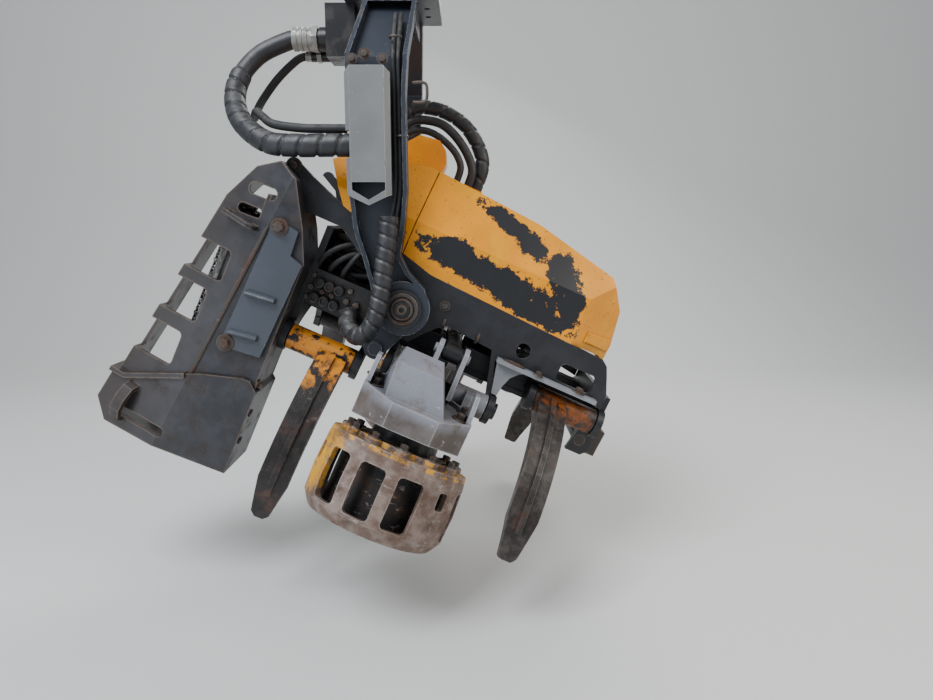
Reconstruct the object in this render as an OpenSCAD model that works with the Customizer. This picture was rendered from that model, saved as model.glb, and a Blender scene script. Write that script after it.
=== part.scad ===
/* [Placing] */
// Nose-down angle at which the head hangs from its hanger
head_tilt = 24; // [20:1:25]
// Height from the link bore down to the rotator's lower flange face
rotator_h = 280; // [270:2:300]
// Height from the tilt pivot up to the hanger's top face
hanger_h = 880; // [870:2:900]
// Distance from the rotator axis forward to the tilt pivot
pivot_dx = 35; // [25:1:45]

/* [Rotator] */
// Radius of the link bore
link_bore_r = 25; // [20:1:28]
// Outer radius of a link ear
link_ear_r = 52; // [46:1:58]
// Thickness of a link ear
link_ear_t = 30; // [24:1:34]
// Gap between the link ears
link_gap = 100; // [90:1:110]
// Radius of the rotator housing
rotator_r = 98; // [90:1:104]
// Radius of the rotator's turning flange
rotor_flange_r = 120; // [112:1:124]
// Thickness of the turning flange
rotor_flange_t = 26; // [20:1:32]

/* [Hanger] */
// Gap between a leg and the frame's side plate
leg_gap = 20; // [16:1:26]
// Thickness of a leg's web
leg_web_t = 14; // [10:1:18]
// Depth of a leg's channel, web included
leg_depth = 50; // [44:1:56]
// Thickness of a leg's flanges
leg_flange_t = 12; // [8:1:14]
// Height above the pivot where the legs bend inward
shoulder_z = 669; // [655:1:680]
// Thickness of the hanger's top plate
crown_t = 22; // [18:1:28]
// Half the side of the hanger's top plate
crown_half = 135; // [126:1:140]
// Outer radius of a leg's pivot boss
boss_r = 76; // [68:1:82]
// Radius of the tilt pin
tilt_pin_r = 38; // [32:1:42]

/* [Hose guard] */
// Left edge of the hose guard, from the pivot
guard_x0 = -140; // [-144:1:-136]
// Right edge of the hose guard
guard_x1 = -22; // [-28:1:-18]
// Lower end of the hose guard
guard_z0 = 280; // [270:1:290]
// Upper end of the hose guard
guard_z1 = 633; // [620:1:645]
// Depth of the hose guard in front of the leg
guard_d = 34; // [28:1:40]
// Thickness of the hose guard's sheet
guard_t = 5; // [4:0.5:7]

/* [Head frame] */
// Width over the frame's side plates
frame_w = 500; // [494:1:506]
// Thickness of a side plate
side_t = 20; // [16:1:22]
// Thickness of the frame's cross plates
cross_t = 20; // [16:1:22]
// Radius of the largest stem that the frame takes
stem_r = 250; // [240:1:255]
// Depth of the stem's centre below the pivot
stem_z = 380; // [376:1:390]
// Width that the lower shelf stands out from a side plate
shelf_w = 36; // [30:1:38]
// Thickness of the lower shelf
shelf_t = 12; // [8:1:13]

/* [Covers] */
// Sheet thickness of the covers
cover_t = 6; // [4:0.5:8]
// Height of the crease between a cover's side and its sloping top
crease_z = 235; // [225:1:245]
// Half the width of the covers' flat top
cover_top_y = 150; // [140:1:160]
// Place of the seam between the two covers
seam_x = -62; // [-72:1:-52]
// Gap at the seam
seam_gap = 3; // [2:0.5:4]

/* [Knives] */
// Radius of a knife's pivot pin
knife_pin_r = 20; // [16:1:22]
// Outer radius of a knife's hub
knife_hub_r = 38; // [34:1:40]
// Width of a knife along the stem
knife_w = 84; // [76:1:86]
// Distance from a knife's pin to its tip
knife_len = 495; // [480:1:505]
// Thickness of a knife at its root
knife_root_t = 60; // [52:1:64]
// Thickness of a knife at its tip
knife_tip_t = 12; // [8:1:16]
// Bulge of a knife's outer side over its chord
knife_sag = 79; // [70:1:88]
// Outward angle of the front knives at rest
front_open = 43.5; // [40:0.5:46]
// Outward angle of the rear knives at rest
rear_open = 25; // [22:0.5:28]

/* [Feed rollers] */
// Largest radius of a feed roller
roller_r = 198; // [192:1:200]
// Height of a feed roller
roller_h = 212; // [206:1:216]
// Wall of a feed roller's drum
roller_wall = 16; // [12:1:20]
// Distance of a feed roller's axis from the head's middle
roller_y = 450; // [444:1:456]
// Outward lean of a feed roller's lower end at rest
roller_lean = 14; // [12:0.5:15]
// Radius of a roller arm's hinge pin
arm_pin_r = 25; // [20:1:28]
// Radius of the pin that holds the arm cylinder
clevis_pin_r = 14; // [12:1:16]

/* [Saw] */
// Plate thickness of the saw box
box_t = 12; // [8:1:14]
// Distance of the saw box's outer face from the head's middle
box_y = 330; // [326:1:334]
// Distance of the saw box's open side from the head's middle
box_in_y = 140; // [132:1:146]
// Plate thickness of the saw box's boot
boot_t = 12; // [8:1:16]
// Thickness of the saw bar
bar_t = 10; // [8:1:12]
// Width of the saw bar at its root
bar_w = 92; // [84:1:96]
// Length of the saw bar from its pivot
bar_len = 668; // [640:1:675]

/* [Hidden] */
$fn = 64;

grey = "#3c3f42";
worn_grey = "#6d7074";
orange = "#f0a01c";
rust = "#6a4a3a";
black = "#1c1c1e";

// Running clearance of a pin in its bore, and of faces that turn past each other
run_c = 0.05;
face_c = 0.3;
// A length that reaches past any piece that is cut
past = 2000;

pivot_z = -(rotator_h + hanger_h);
side_y = frame_w / 2;
leg_in_y = side_y + leg_gap;

// Places one piece at the tilt pivot, upright as the hanger is
module at_pivot() translate([pivot_dx, 0, pivot_z]) children();

// Places one piece in the head's own frame: +X to the front knives, +Z to the covers
module on_head() at_pivot() rotate([0, head_tilt, 0]) children();

// A flat outline drawn as [x, z] and given a thickness from y0 to y1
module slab_y(y0, y1) translate([0, y1, 0]) rotate([90, 0, 0]) linear_extrude(y1 - y0) children();

// A flat outline drawn as [y, z] and given a thickness from x0 to x1
module slab_x(x0, x1)
    translate([x0, 0, 0]) rotate([90, 0, 90]) linear_extrude(x1 - x0) children();

// A round bar along X or along Y
module rod_x(x0, x1, r) translate([x0, 0, 0]) rotate([0, 90, 0]) cylinder(h = x1 - x0, r = r);
module rod_y(y0, y1, r) translate([0, y1, 0]) rotate([90, 0, 0]) cylinder(h = y1 - y0, r = r);

// A rectangle with round corners, from its lower left to its upper right corner
module round_rect(x0, z0, x1, z1, r) {
    translate([x0 + r, z0]) square([x1 - x0 - 2 * r, z1 - z0]);
    translate([x0, z0 + r]) square([x1 - x0, z1 - z0 - 2 * r]);
    for (x = [x0 + r, x1 - r], z = [z0 + r, z1 - r]) translate([x, z]) circle(r);
}

// An outline moved inward by t at every edge: positive where the points run anticlockwise
function edge_dir(p, q) = (q - p) / norm(q - p);
function left_of(d) = [-d[1], d[0]];
function moved_corner(a, b, c, t) =
    let (d1 = edge_dir(a, b), d2 = edge_dir(b, c), n1 = left_of(d1), n2 = left_of(d2))
    b + (n1 + n2) * t / (1 + n1 * n2);
function inset(pts, t) = [
    for (i = [0 : len(pts) - 1])
        moved_corner(pts[(i + len(pts) - 1) % len(pts)], pts[i], pts[(i + 1) % len(pts)], t)
];

// Rotator

module rotator_link() color(grey) {
    ear_y = link_gap / 2;
    base_z = -link_ear_r - 22;
    difference() {
        union() {
            for (s = [-1, 1]) {
                y0 = s > 0 ? ear_y : -ear_y - link_ear_t;
                rod_y(y0, y0 + link_ear_t, link_ear_r);
                translate([-link_ear_r, y0, base_z]) cube([2 * link_ear_r, link_ear_t, -base_z]);
            }
            translate([0, 0, base_z - 26]) cylinder(h = 26, r = rotator_r - 4);
        }
        rod_y(-past, past, link_bore_r);
    }
}

port_z = [-150, -200];
port_r = 11;
port_len = 22;
module rotator_housing() color(grey) {
    top_z = -link_ear_r - 22 - 26;
    low_z = -rotator_h + rotor_flange_t + face_c;
    difference() {
        union() {
            translate([0, 0, low_z]) cylinder(h = top_z - low_z, r = rotator_r);
            translate([0, 0, top_z - 14]) cylinder(h = 14, r = rotator_r + 10);
            translate([0, 0, low_z]) cylinder(h = 18, r = rotator_r + 12);
            for (a = [45 : 90 : 315]) rotate([0, 0, a])
                translate([rotator_r - 14, -13, low_z + 9]) cube([20, 26, top_z - low_z - 16]);
            for (z = port_z) translate([0, 0, z]) rod_x(-rotator_r - port_len, -rotator_r + 18, 18);
        }
        for (z = port_z) translate([0, 0, z]) rod_x(-rotator_r - port_len - 1, -rotator_r, port_r);
    }
}

module rotator_flange() color(grey) {
    translate([0, 0, -rotator_h]) difference() {
        union() {
            cylinder(h = rotor_flange_t, r = rotor_flange_r);
            translate([0, 0, -40]) cylinder(h = 40, r = 58);
        }
        for (a = [22.5 : 45 : 359]) rotate([0, 0, a]) translate([rotor_flange_r - 16, 0, -1])
            cylinder(h = rotor_flange_t + 2, r = 9);
    }
}

// Hanger: all places are from the tilt pivot, x forward and z up

rotor_x = -pivot_dx;
leg_out_y = leg_in_y + leg_depth;
crown_z = hanger_h - crown_t;
// Rows of a leg's outline: height, left edge, right edge
leg_rows = [
    [-6, -78, 74], [53, -84, 62], [100, -96, 20], [148, -108, -4], [210, -128, 8],
    [321, -140, 19], [563, -140, 17], [669, -140, 24], [hanger_h - crown_t, -109, 39]
];
leg_outline = concat(
    [for (r = leg_rows) [r[2], r[0]]],
    [for (i = [len(leg_rows) - 1 : -1 : 0]) [leg_rows[i][1], leg_rows[i][0]]]
);
tail = [-82, -116];
tail_r = 34;
leg_top_y = 96;

// Side view of the bent leg across the head: the web, and the full depth of its channel
module leg_bend(depth) {
    polygon([
        [leg_in_y, -past], [leg_in_y + depth, -past], [leg_in_y + depth, shoulder_z],
        [leg_top_y + depth, crown_z], [leg_top_y, crown_z], [leg_in_y, shoulder_z]
    ]);
}

hose_entry_z = 438;
hose_r = 30;
// Distance of the thick hose's centre from the middle, sunk a little into the web
hose_depth = leg_in_y + leg_web_t + hose_r - 2;
module hanger_leg(side) {
    module far_leg() difference() {
        union() {
            intersection() {
                slab_y(0, past) polygon(leg_outline);
                slab_x(-past, past) leg_bend(leg_web_t);
            }
            intersection() {
                slab_y(0, past) difference() {
                    polygon(leg_outline);
                    polygon(inset(leg_outline, leg_flange_t));
                }
                slab_x(-past, past) leg_bend(leg_depth);
            }
            slab_y(leg_in_y, leg_in_y + leg_web_t) {
                polygon([[-78, -6], [tail[0] - tail_r, tail[1] + 8], [tail[0] + tail_r - 4, tail[1] - 12],
                         [20, -60], [60, -6]]);
                translate(tail) circle(tail_r);
            }
            rod_y(side_y + 2, leg_out_y, boss_r);
            translate([tail[0], 0, tail[1]]) rod_y(leg_in_y, leg_in_y + 30, 20);
        }
        rod_y(0, past, tilt_pin_r + run_c);
    }
    if (side > 0) far_leg(); else {
        difference() {
            mirror([0, 1, 0]) far_leg();
            // Way in for the thick hose, which goes up inside the channel
            translate([guard_x0 - 20, -leg_in_y - leg_web_t - leg_depth, hose_entry_z - 40])
                cube([20 + leg_flange_t + 2, leg_depth, 80]);
        }
        // Hose end that stands on the web, hidden by the guard
        translate([0, -hose_depth, hose_entry_z]) rod_x(guard_x0 + 18, guard_x0 + 40, hose_r);
    }
}
module hanger_leg_near() color(grey) at_pivot() hanger_leg(-1);
module hanger_leg_far() color(grey) at_pivot() hanger_leg(1);

module hanger_crown() color(grey) at_pivot() {
    difference() {
        union() {
            translate([rotor_x - crown_half, -crown_half, crown_z])
                cube([2 * crown_half, 2 * crown_half, crown_t]);
            for (x = [-100, 14]) slab_x(x, x + 16)
                polygon([[-leg_top_y, crown_z], [-leg_top_y + 4, crown_z - 60],
                         [leg_top_y - 4, crown_z - 60], [leg_top_y, crown_z]]);
        }
        translate([rotor_x, 0, 0]) cylinder(h = past, r = 58 + 1);
        translate([rotor_x, 0, crown_z - 1]) for (a = [22.5 : 45 : 359]) rotate([0, 0, a])
            translate([rotor_flange_r - 16, 0, 0]) cylinder(h = crown_t + 2, r = 9);
    }
}

guard_y = leg_out_y + guard_d;
module hose_guard() color(worn_grey) at_pivot() {
    // Plan of the guard's sheet: a tray with cut corners over the leg's channel
    tray = [[guard_x0, -leg_out_y], [guard_x0, -guard_y + 14], [guard_x0 + 14, -guard_y],
            [guard_x1 - 14, -guard_y], [guard_x1, -guard_y + 14], [guard_x1, -leg_out_y]];
    hollow = [[guard_x0 + guard_t, -leg_out_y + 1],
              [guard_x0 + guard_t, -guard_y + 14 + guard_t / 2],
              [guard_x0 + 14 + guard_t / 2, -guard_y + guard_t],
              [guard_x1 - 14 - guard_t / 2, -guard_y + guard_t],
              [guard_x1 - guard_t, -guard_y + 14 + guard_t / 2],
              [guard_x1 - guard_t, -leg_out_y + 1]];
    mid = (guard_x0 + guard_x1) / 2;
    difference() {
        translate([0, 0, guard_z0]) linear_extrude(guard_z1 - guard_z0) polygon(tray);
        translate([0, 0, guard_z0 - 1]) linear_extrude(guard_z1 - guard_z0 - guard_t + 1)
            polygon(hollow);
        // Window above the bar at the lower end, and the end's shallow point
        slab_y(-guard_y - 1, -guard_y + guard_t + 2)
            polygon([[guard_x0 + 15, guard_z0 + 60], [guard_x0 + 15, guard_z0 + 40], [mid, guard_z0 + 14],
                     [guard_x1 - 15, guard_z0 + 40], [guard_x1 - 15, guard_z0 + 60]]);
        slab_y(-past, past) {
            polygon([[guard_x0 - 1, guard_z0 - 1], [guard_x0 - 1, guard_z0 + 28], [mid, guard_z0],
                     [guard_x1 + 1, guard_z0 + 28], [guard_x1 + 1, guard_z0 - 1]]);
            polygon([[guard_x0 - 1, guard_z1 + 1], [guard_x0 - 1, guard_z1 - 16],
                     [guard_x0 + 16, guard_z1 + 1]]);
            polygon([[guard_x1 + 1, guard_z1 + 1], [guard_x1 + 1, guard_z1 - 16],
                     [guard_x1 - 16, guard_z1 + 1]]);
        }
        translate([guard_x0 - 1, -guard_y + guard_t - 2, hose_entry_z - hose_r - 5])
            cube([24, guard_d, 2 * hose_r + 10]);
    }
}

port_x = -230;
port_height = 768;
port_block_h = 146;
module port_block() color(worn_grey) at_pivot() {
    translate([port_x, -100, crown_z - port_block_h])
        cube([rotor_x - crown_half + 26 - port_x, 124, port_block_h]);
    translate([0, -62, port_height]) {
        rod_x(port_x - 60, port_x + 4, 27);
        rod_x(port_x - 22, port_x + 2, 33);
    }
    translate([0, -10, port_height - 36]) rod_x(port_x - 60, port_x + 4, 16);
}

// Hoses: tubes swept along round points by plain functions

function unit(v) = v / norm(v);
function tangent(p, i) = unit(p[min(i + 1, len(p) - 1)] - p[max(i - 1, 0)]);
function side_of(t) = unit(cross(t, abs(t[1]) < 0.9 ? [0, 1, 0] : [1, 0, 0]));
// Points of a smooth curve through the route, n steps between two route points
function spline_at(a, b, c, d, u) =
    0.5 * (2 * b + (c - a) * u + (2 * a - 5 * b + 4 * c - d) * u * u
        + (3 * b - a - 3 * c + d) * u * u * u);
function smooth(p, n) = concat(
    [for (i = [0 : len(p) - 2], k = [0 : n - 1])
        spline_at(p[max(i - 1, 0)], p[i], p[i + 1], p[min(i + 2, len(p) - 1)], k / n)],
    [p[len(p) - 1]]
);
module hose(route, r, steps, sides) {
    p = smooth(route, steps);
    rings = len(p);
    points = [for (i = [0 : rings - 1])
        let (t = tangent(p, i), u = side_of(t), v = cross(t, u))
        for (k = [0 : sides - 1]) p[i] + r * (cos(360 * k / sides) * u + sin(360 * k / sides) * v)];
    walls = [for (i = [0 : rings - 2], k = [0 : sides - 1])
        [i * sides + k, i * sides + (k + 1) % sides, (i + 1) * sides + (k + 1) % sides, (i + 1) * sides + k]];
    ends = [[for (k = [sides - 1 : -1 : 0]) k], [for (k = [0 : sides - 1]) (rings - 1) * sides + k]];
    polyhedron(points = points, faces = concat(walls, ends));
}

thick_loop = [[-290.5, -62, 768], [-301, -62, 768], [-315, -62, 768], [-350, -63, 762],
              [-430, -74, 722], [-480, -105, 654],
              [-484, -155, 580], [-445, -220, 508], [-362, -282, 450], [-268, -312, 438], [-190, -316, 438],
              [-123, -316, 438]];
thin_loop = [[-290.5, -10, 732], [-298, -10, 732], [-308, -10, 732], [-336, -14, 720],
             [-391, -22, 668], [-438, -30, 606],
             [-452, -72, 555], [-438, -130, 536], [-415, -190, 543], [-385, -240, 524], [-345, -275, 498],
             [-262, -300, 484], [-190, -305, 482], [-158, -305, 482], [-141.5, -305, 482]];
module hose_loop_thick() color(black) at_pivot() hose(thick_loop, hose_r, 3, 12);
module hose_loop_thin() color(black) at_pivot() hose(thin_loop, 12, 3, 8);

leg_route_a = [[-2, -190, 800], [-2, -262, 726], [-2, -297, 672], [-2, -303, 640], [-1.5, -300, 480],
               [-1.5, -300, 330], [-12, -300, 250]];
leg_route_b = [[-17, -190, 800], [-17, -262, 726], [-16, -297, 672], [-15.5, -303, 640], [-14.2, -300, 480],
               [-14.2, -300, 330], [-26, -300, 250]];
module leg_hoses() color(black) at_pivot() for (route = [leg_route_a, leg_route_b]) hose(route, 6.2, 2, 8);

pivot_route = [[-30, -350, 250], [-34, -354, 190], [-44, -360, 120], [-52, -364, 50], [-70, -364, -20],
               [-100, -350, -66], [-132, -320, -76], [-156, -290, -54], [-162, -256, -32], [-162, -226.5, -30]];
module pivot_hoses() color(black) at_pivot() hose(pivot_route, 26, 2, 10);

far_route = [[-30, 215, 598], [10, 215, 620], [60, 215, 620], [120, 212, 600], [175, 208, 560],
             [212, 204, 505], [230, 196, 455], [234, 190, 413.1], [223.8, 190, 390.2],
             [205.5, 190, 349.1]];
far_route_b = [[-30, 190, 556], [10, 190, 576], [60, 190, 574], [105, 186, 557], [148, 178, 515],
               [182, 167, 460], [202.9, 160, 405], [194.8, 160, 386.7], [182.6, 160, 359.3]];
far_route_c = [[-30, 176, 522], [5, 176, 541], [45, 176, 540], [85, 174, 522], [118, 168, 494],
               [148, 161, 455], [163.7, 158, 416.9], [157.6, 158, 403.2], [145.4, 158, 375.8]];
module far_hoses() color(black) at_pivot() {
    hose(far_route, 24, 2, 10);
    hose(far_route_b, 15, 2, 8);
    hose(far_route_c, 12, 2, 8);
}

// Head frame: all places are in the head's own frame, from the tilt pivot

// The cover's lower edge, which is the side plates' upper edge, from rear to front
cover_line = [[-268, 190], [-234, 180], [34, 112], [590, 90], [609, 76]];
box_shoulder = [[-330, 90], [-395, 205]];
front_edge = [[609, 76], [626, 41], [647, -6], [647, -48], [583, -38]];
arch = [[303, -38], [331, -132], [316, -132], [282, -15], [128, -3], [74, -59]];
pivot_edge = [[50, -92], [-50, -92], [-100, -10], [-142, 68], [-250, 133]];
side_outline = concat(
    [[-354, 133], [-395, 205], [-388, 233]], cover_line, [for (i = [1 : 4]) front_edge[i]], arch, pivot_edge
);

lug = [-434, 236];
lug_r = 20;
module side_plate() {
    slab_y(side_y - side_t, side_y) difference() {
        union() {
            polygon(side_outline);
            polygon([lug + [0, lug_r], [-376, 230], [-268, 190], [-354, 133], [-395, 205], lug - [lug_r, 0]]);
            translate(lug) circle(lug_r);
        }
        translate([366, 19]) circle(22);
        round_rect(486, -22, 598, 35, 16);
        polygon(inset(box_outline, -face_c));
    }
    translate([305, side_y - 3, -37]) cube([314, shelf_w + 3, shelf_t]);
    slab_y(side_y - 3, side_y + 16)
        polygon([[308, -34], [331, -130], [348, -130], [352, -98], [362, -68], [382, -46], [408, -34]]);
}
module side_plate_far() color(grey) on_head() side_plate();
module side_plate_near() color(grey) on_head() mirror([0, 1, 0]) side_plate();

module tilt_pins() color(worn_grey) on_head() for (s = [0, 1]) mirror([0, s, 0]) {
    rod_y(side_y, leg_out_y + 4, tilt_pin_r);
    rod_y(leg_out_y + 2, leg_out_y + 14, 54);
    rod_y(leg_out_y + 14, leg_out_y + 26, 22);
}

knife_y_front = 230;
knife_z_front = -95;
knife_y_rear = 240;
knife_z_rear = -215;
arm_y = 262;
arm_z = -178;
inner_y = side_y - side_t;

// A cross plate with lobes round two pins and the stem's arc cut out below
module cross_plate(x0, x1, z_top, pin_y, pin_z, lobe_r) {
    slab_x(x0, x1) difference() {
        union() {
            polygon([[-inner_y, z_top], [inner_y, z_top], [inner_y, pin_z + 30], [pin_y + lobe_r, pin_z],
                     [-pin_y - lobe_r, pin_z], [-inner_y, pin_z + 30]]);
            for (s = [-1, 1]) translate([s * pin_y, pin_z]) circle(lobe_r);
        }
        translate([0, -stem_z]) circle(stem_r);
    }
}

rear_x0 = -291.7;
// The belly plate's underside, a little above the top of the largest stem
belly_z = -stem_z + stem_r + 2;
barrel_r = 27;
barrel_x = 176.5;
// The gap that the arm cylinder sinks into as the rollers close parts the frame's two halves
gap_x = [barrel_x - barrel_r - 12, barrel_x + barrel_r + 12];
belly_t = 16;
belly_half = 150;
rib_top = -52;
// Belly plate that the stem slides along, and the two ribs on it
module belly(x0, x1) {
    translate([x0, -belly_half, belly_z]) cube([x1 - x0, 2 * belly_half, belly_t]);
    for (y = [4 - belly_half, belly_half - 16])
        translate([x0, y, belly_z]) cube([x1 - x0, 12, rib_top - belly_z]);
}

module frame_rear() color(grey) on_head() {
    cross_plate(rear_x0, rear_x0 + cross_t, 120, knife_y_rear, knife_z_rear, 46);
    cross_plate(-70, -70 + cross_t, 120, knife_y_rear, knife_z_rear, 46);
    cross_plate(8, 8 + cross_t, 100, arm_y, arm_z, 44);
    belly(rear_x0 + 6, gap_x[0]);
    // Pins of the rear knives and of the roller arms
    for (s = [-1, 1]) {
        translate([0, s * knife_y_rear, knife_z_rear]) rod_x(rear_x0 + 3, -53, knife_pin_r);
        translate([0, s * arm_y, arm_z]) rod_x(11, 332 - face_c, arm_pin_r);
    }
}

module frame_front() color(grey) on_head() {
    difference() {
        union() {
            cross_plate(332, 332 + cross_t, 90, arm_y, arm_z, 44);
            cross_plate(430, 430 + cross_t, 60, knife_y_front, knife_z_front, 44);
            belly(gap_x[1], 450);
            for (y = [4 - belly_half, belly_half - 16]) slab_y(y, y + 12)
                polygon([[440, belly_z + 3], [600, -86], [655, -86], [655, rib_top], [440, rib_top]]);
        }
        // Slot for the measuring wheel
        translate([300, -32, -past / 2]) cube([220, 64, past / 2 + 45]);
    }
    // Front cross plate and the ears of the top knife
    difference() {
        union() {
            slab_x(648, 648 + cross_t) {
                polygon([[-inner_y, -10], [inner_y, -10], [inner_y, -60], [185, -92], [-185, -92],
                         [-inner_y, -60]]);
                for (s = [-1, 1]) translate([s * knife_y_front, knife_z_front]) circle(44);
            }
            for (s = [-1, 1]) slab_y(s * 170 - 10, s * 170 + 10)
                polygon([[648, -60], [668, -60], [690, -195], [672, -214], [622, -214], [640, -110]]);
        }
        translate([651, 0, -172]) rod_y(-past, past, 18 + run_c);
    }
    // Pins of the front knives, ends of the roller arms' pins, and the measuring arm's pin
    for (s = [-1, 1]) {
        translate([0, s * knife_y_front, knife_z_front]) rod_x(433, 665, knife_pin_r);
        translate([0, s * arm_y, arm_z]) rod_x(350, 364, arm_pin_r);
    }
    translate([wheel_pin[0], 0, wheel_pin[1]]) rod_y(-140, 140, wheel_pin_r);
}

// Covers: three outlines crossed, and the same moved inward by the sheet

cover_side = concat(
    cover_line,
    [[612, 130], [590, 235], [524, 317], [268, 370], [-87, 392], [-290, 352], [-350, 296]]
);
cover_end = [[-side_y, -100], [side_y, -100], [side_y, crease_z], [cover_top_y, 400], [-cover_top_y, 400],
             [-side_y, crease_z]];
cover_plan = [[-400, -side_y - 1], [480, -side_y - 1], [640, -150], [640, 150], [480, side_y + 1],
              [-400, side_y + 1]];
module cover_solid(t) {
    intersection() {
        slab_y(-past, past) polygon(inset(cover_side, t));
        slab_x(-past, past) polygon(inset(cover_end, t));
        translate([0, 0, -past]) linear_extrude(2 * past) polygon(inset(cover_plan, t));
    }
}
module cover() difference() {
    cover_solid(0);
    cover_solid(cover_t);
    // Open underneath, over the whole length
    translate([0, 0, -2 * cover_t]) cover_solid(cover_t);
}
// Raised box on the flat top, beside the seam
hump = [[-214, 340], [-208, 436], [-176, 476], [-112, 486], [-84, 466], [seam_x - seam_gap - 2, 430],
        [seam_x - seam_gap - 2, 340]];
hump_y = [10, 150];
module cover_rear() color(orange) on_head() difference() {
    union() {
        intersection() {
            cover();
            translate([seam_x - past, -past, -past]) cube([past - seam_gap, 2 * past, 2 * past]);
        }
        difference() {
            slab_y(hump_y[0], hump_y[1]) polygon(hump);
            cover_solid(cover_t);
        }
    }
    slab_y(hump_y[0] + cover_t, hump_y[1] - cover_t) polygon(inset(hump, -cover_t));
}
// Block that the far hoses go into
hose_block = [[-50, 130, 330], [72, 218, 402]];
module cover_front() color(orange) on_head() {
    intersection() {
        cover();
        translate([seam_x, -past, -past]) cube([past, 2 * past, 2 * past]);
    }
    translate(hose_block[0]) cube(hose_block[1] - hose_block[0]);
}

module valve_block() color(black) on_head() {
    translate([rear_x0 + cross_t + face_c, -225, -110]) cube([200, 225 - 146 - face_c, 106]);
    for (x = [-250, -220, -190], z = [-85, -40]) translate([x, 0, z]) rod_y(-238, -225, 13);
}

// Saw box

box_outline = [
    [-292, -628], [-292, 3], [-330, 90], [-395, 205], [-452, 235], [-512, 195], [-565, 90], [-591, -42],
    [-698, -593], [-659, -639]
];
ridge = [-419, 67];
ridge_lean = 6.35;
slant = 17;
// Places a piece on the slanted face: x along it from the ridge, y inward, z up the ridge
module on_slant() translate([ridge[0], -box_y, ridge[1]]) rotate([0, ridge_lean, 0])
    rotate([0, 0, -slant]) children();

// Everything outside the slanted part of the saw box's face
module slant_cut(t)
    translate([0, t, 0]) on_slant() translate([-past, -past, -past]) cube([past, past, 2 * past]);

// Middle of the saw box's face at the height of the bar cylinder's lower pin
function wall_y(x) = -box_y + box_t / 2
    + max(0, ridge[0] + tan(ridge_lean) * (bar_pin_z - ridge[1]) - x) * tan(slant);

module box_outer(t) difference() {
    slab_y(-box_y - t, -box_in_y) polygon(inset(box_outline, -t));
    slant_cut(-t);
}
module box_windows() {
    slab_y(-box_y - 40, -box_y + 105) {
        round_rect(-720, -137, -488, -47, 14);
        round_rect(-730, -273, -514, -173, 14);
        round_rect(-740, -417, -538, -316, 14);
    }
    slab_y(-box_y - 40, -box_y + 60) {
        translate([-469, 140]) rotate(4) round_rect(-42, -16, 42, 16, 15);
        translate([-485, 78]) rotate(4) round_rect(-36, -13, 36, 13, 12);
    }
}
module saw_box() color(grey) on_head() {
    difference() {
        box_outer(0);
        difference() {
            slab_y(-box_y + box_t, 0) polygon(inset(box_outline, box_t));
            slant_cut(box_t);
        }
        box_windows();
        slab_y(-box_y - 40, -box_y + 90) round_rect(-661, -614, -481, -586, 13);
    }
    // Loop handle that stands out from the slanted face
    on_slant() translate([-76, 0, -36]) linear_extrude(13) difference() {
        round_rect(-54, -38, 54, 8, 22);
        round_rect(-38, -26, 38, 0, 12);
    }
    // Wall that carries the saw motor
    slab_x(motor_wall_x - box_t, motor_wall_x) difference() {
        polygon([[-box_y + box_t - 2, -20], [-box_in_y, -20], [-box_in_y, 140], [-box_y + box_t - 2, 140]]);
        translate([bar_y, bar_z]) circle(nose_r + face_c);
    }
    // Brackets of the bar cylinder's lower pin
    for (x = [rod_eye_x - 34, rod_eye_x + 22]) slab_x(x, x + 12)
        polygon([[wall_y(x + 6), bar_pin_z - 26], [cyl_y + 16, bar_pin_z - 14],
                 [cyl_y + 16, bar_pin_z + 14], [wall_y(x + 6), bar_pin_z + 26]]);
    translate([0, cyl_y, bar_pin_z]) rod_x(rod_eye_x - 34, rod_eye_x + 34, bar_pin_r);
}

strap_x = -132;
module saw_boot() color(grey) on_head() {
    difference() {
        union() {
            intersection() {
                box_outer(boot_t);
                slab_y(-past, past) polygon([[-760, -496], [-653, -496], [-485, -412], [-440, -392],
                                             [-330, -358], [-308, -358], [-270, -392], [-270, -800],
                                             [-760, -800]]);
            }
            // Lip along the boot's upper edge
            intersection() {
                box_outer(boot_t + 9);
                slab_y(-past, past) polygon([[-760, -508], [-650, -508], [-478, -422], [-484, -408],
                                             [-654, -494], [-760, -494]]);
            }
        }
        box_outer(0);
        slab_y(-box_y - 60, -box_y + 90) round_rect(-661, -614, -481, -586, 13);
    }
    // Strap that bridges the slot
    on_slant() slab_x(strap_x - 17, strap_x + 17)
        polygon([[-boot_t + 2, -590], [-boot_t - 22, -604], [-boot_t - 34, -640], [-boot_t - 34, -676],
                 [-boot_t - 20, -704], [-boot_t + 2, -712], [-boot_t + 2, -698], [-boot_t - 12, -692],
                 [-boot_t - 22, -672], [-boot_t - 22, -642], [-boot_t - 14, -616], [-boot_t + 2, -606]]);
}

module saw_guard_plate() color("#57616e") on_head() slab_y(-box_y - 12, -box_y)
    polygon([[-406, 90], [-424, -296], [-308, -284], [-294, 0], [-332, 12], [-336, 80]]);

motor_wall_x = -440;
bar_x = -540;
bar_y = -200;
bar_z = 48;
nose_r = 26;
lever_r = 62;
lever_angle = 38;
// The lower pin stands midway in the cylinder's small sideways travel
cyl_y = bar_y - lever_r * (1 + cos(lever_angle + 2)) / 2;
bar_pin_z = -470;
bar_pin_r = 9;
// Room round the lower pin for the cylinder's sideways travel
eye_play = 9;
rod_eye_x = -500;
module saw_motor() color(black) on_head() translate([0, bar_y, bar_z]) {
    rod_x(motor_wall_x, motor_wall_x + 80, 50);
    rod_x(bar_x + bar_t / 2 - 1, motor_wall_x + 10, nose_r);
    rod_x(bar_x - 12, bar_x + bar_t / 2, 22);
}

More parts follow.
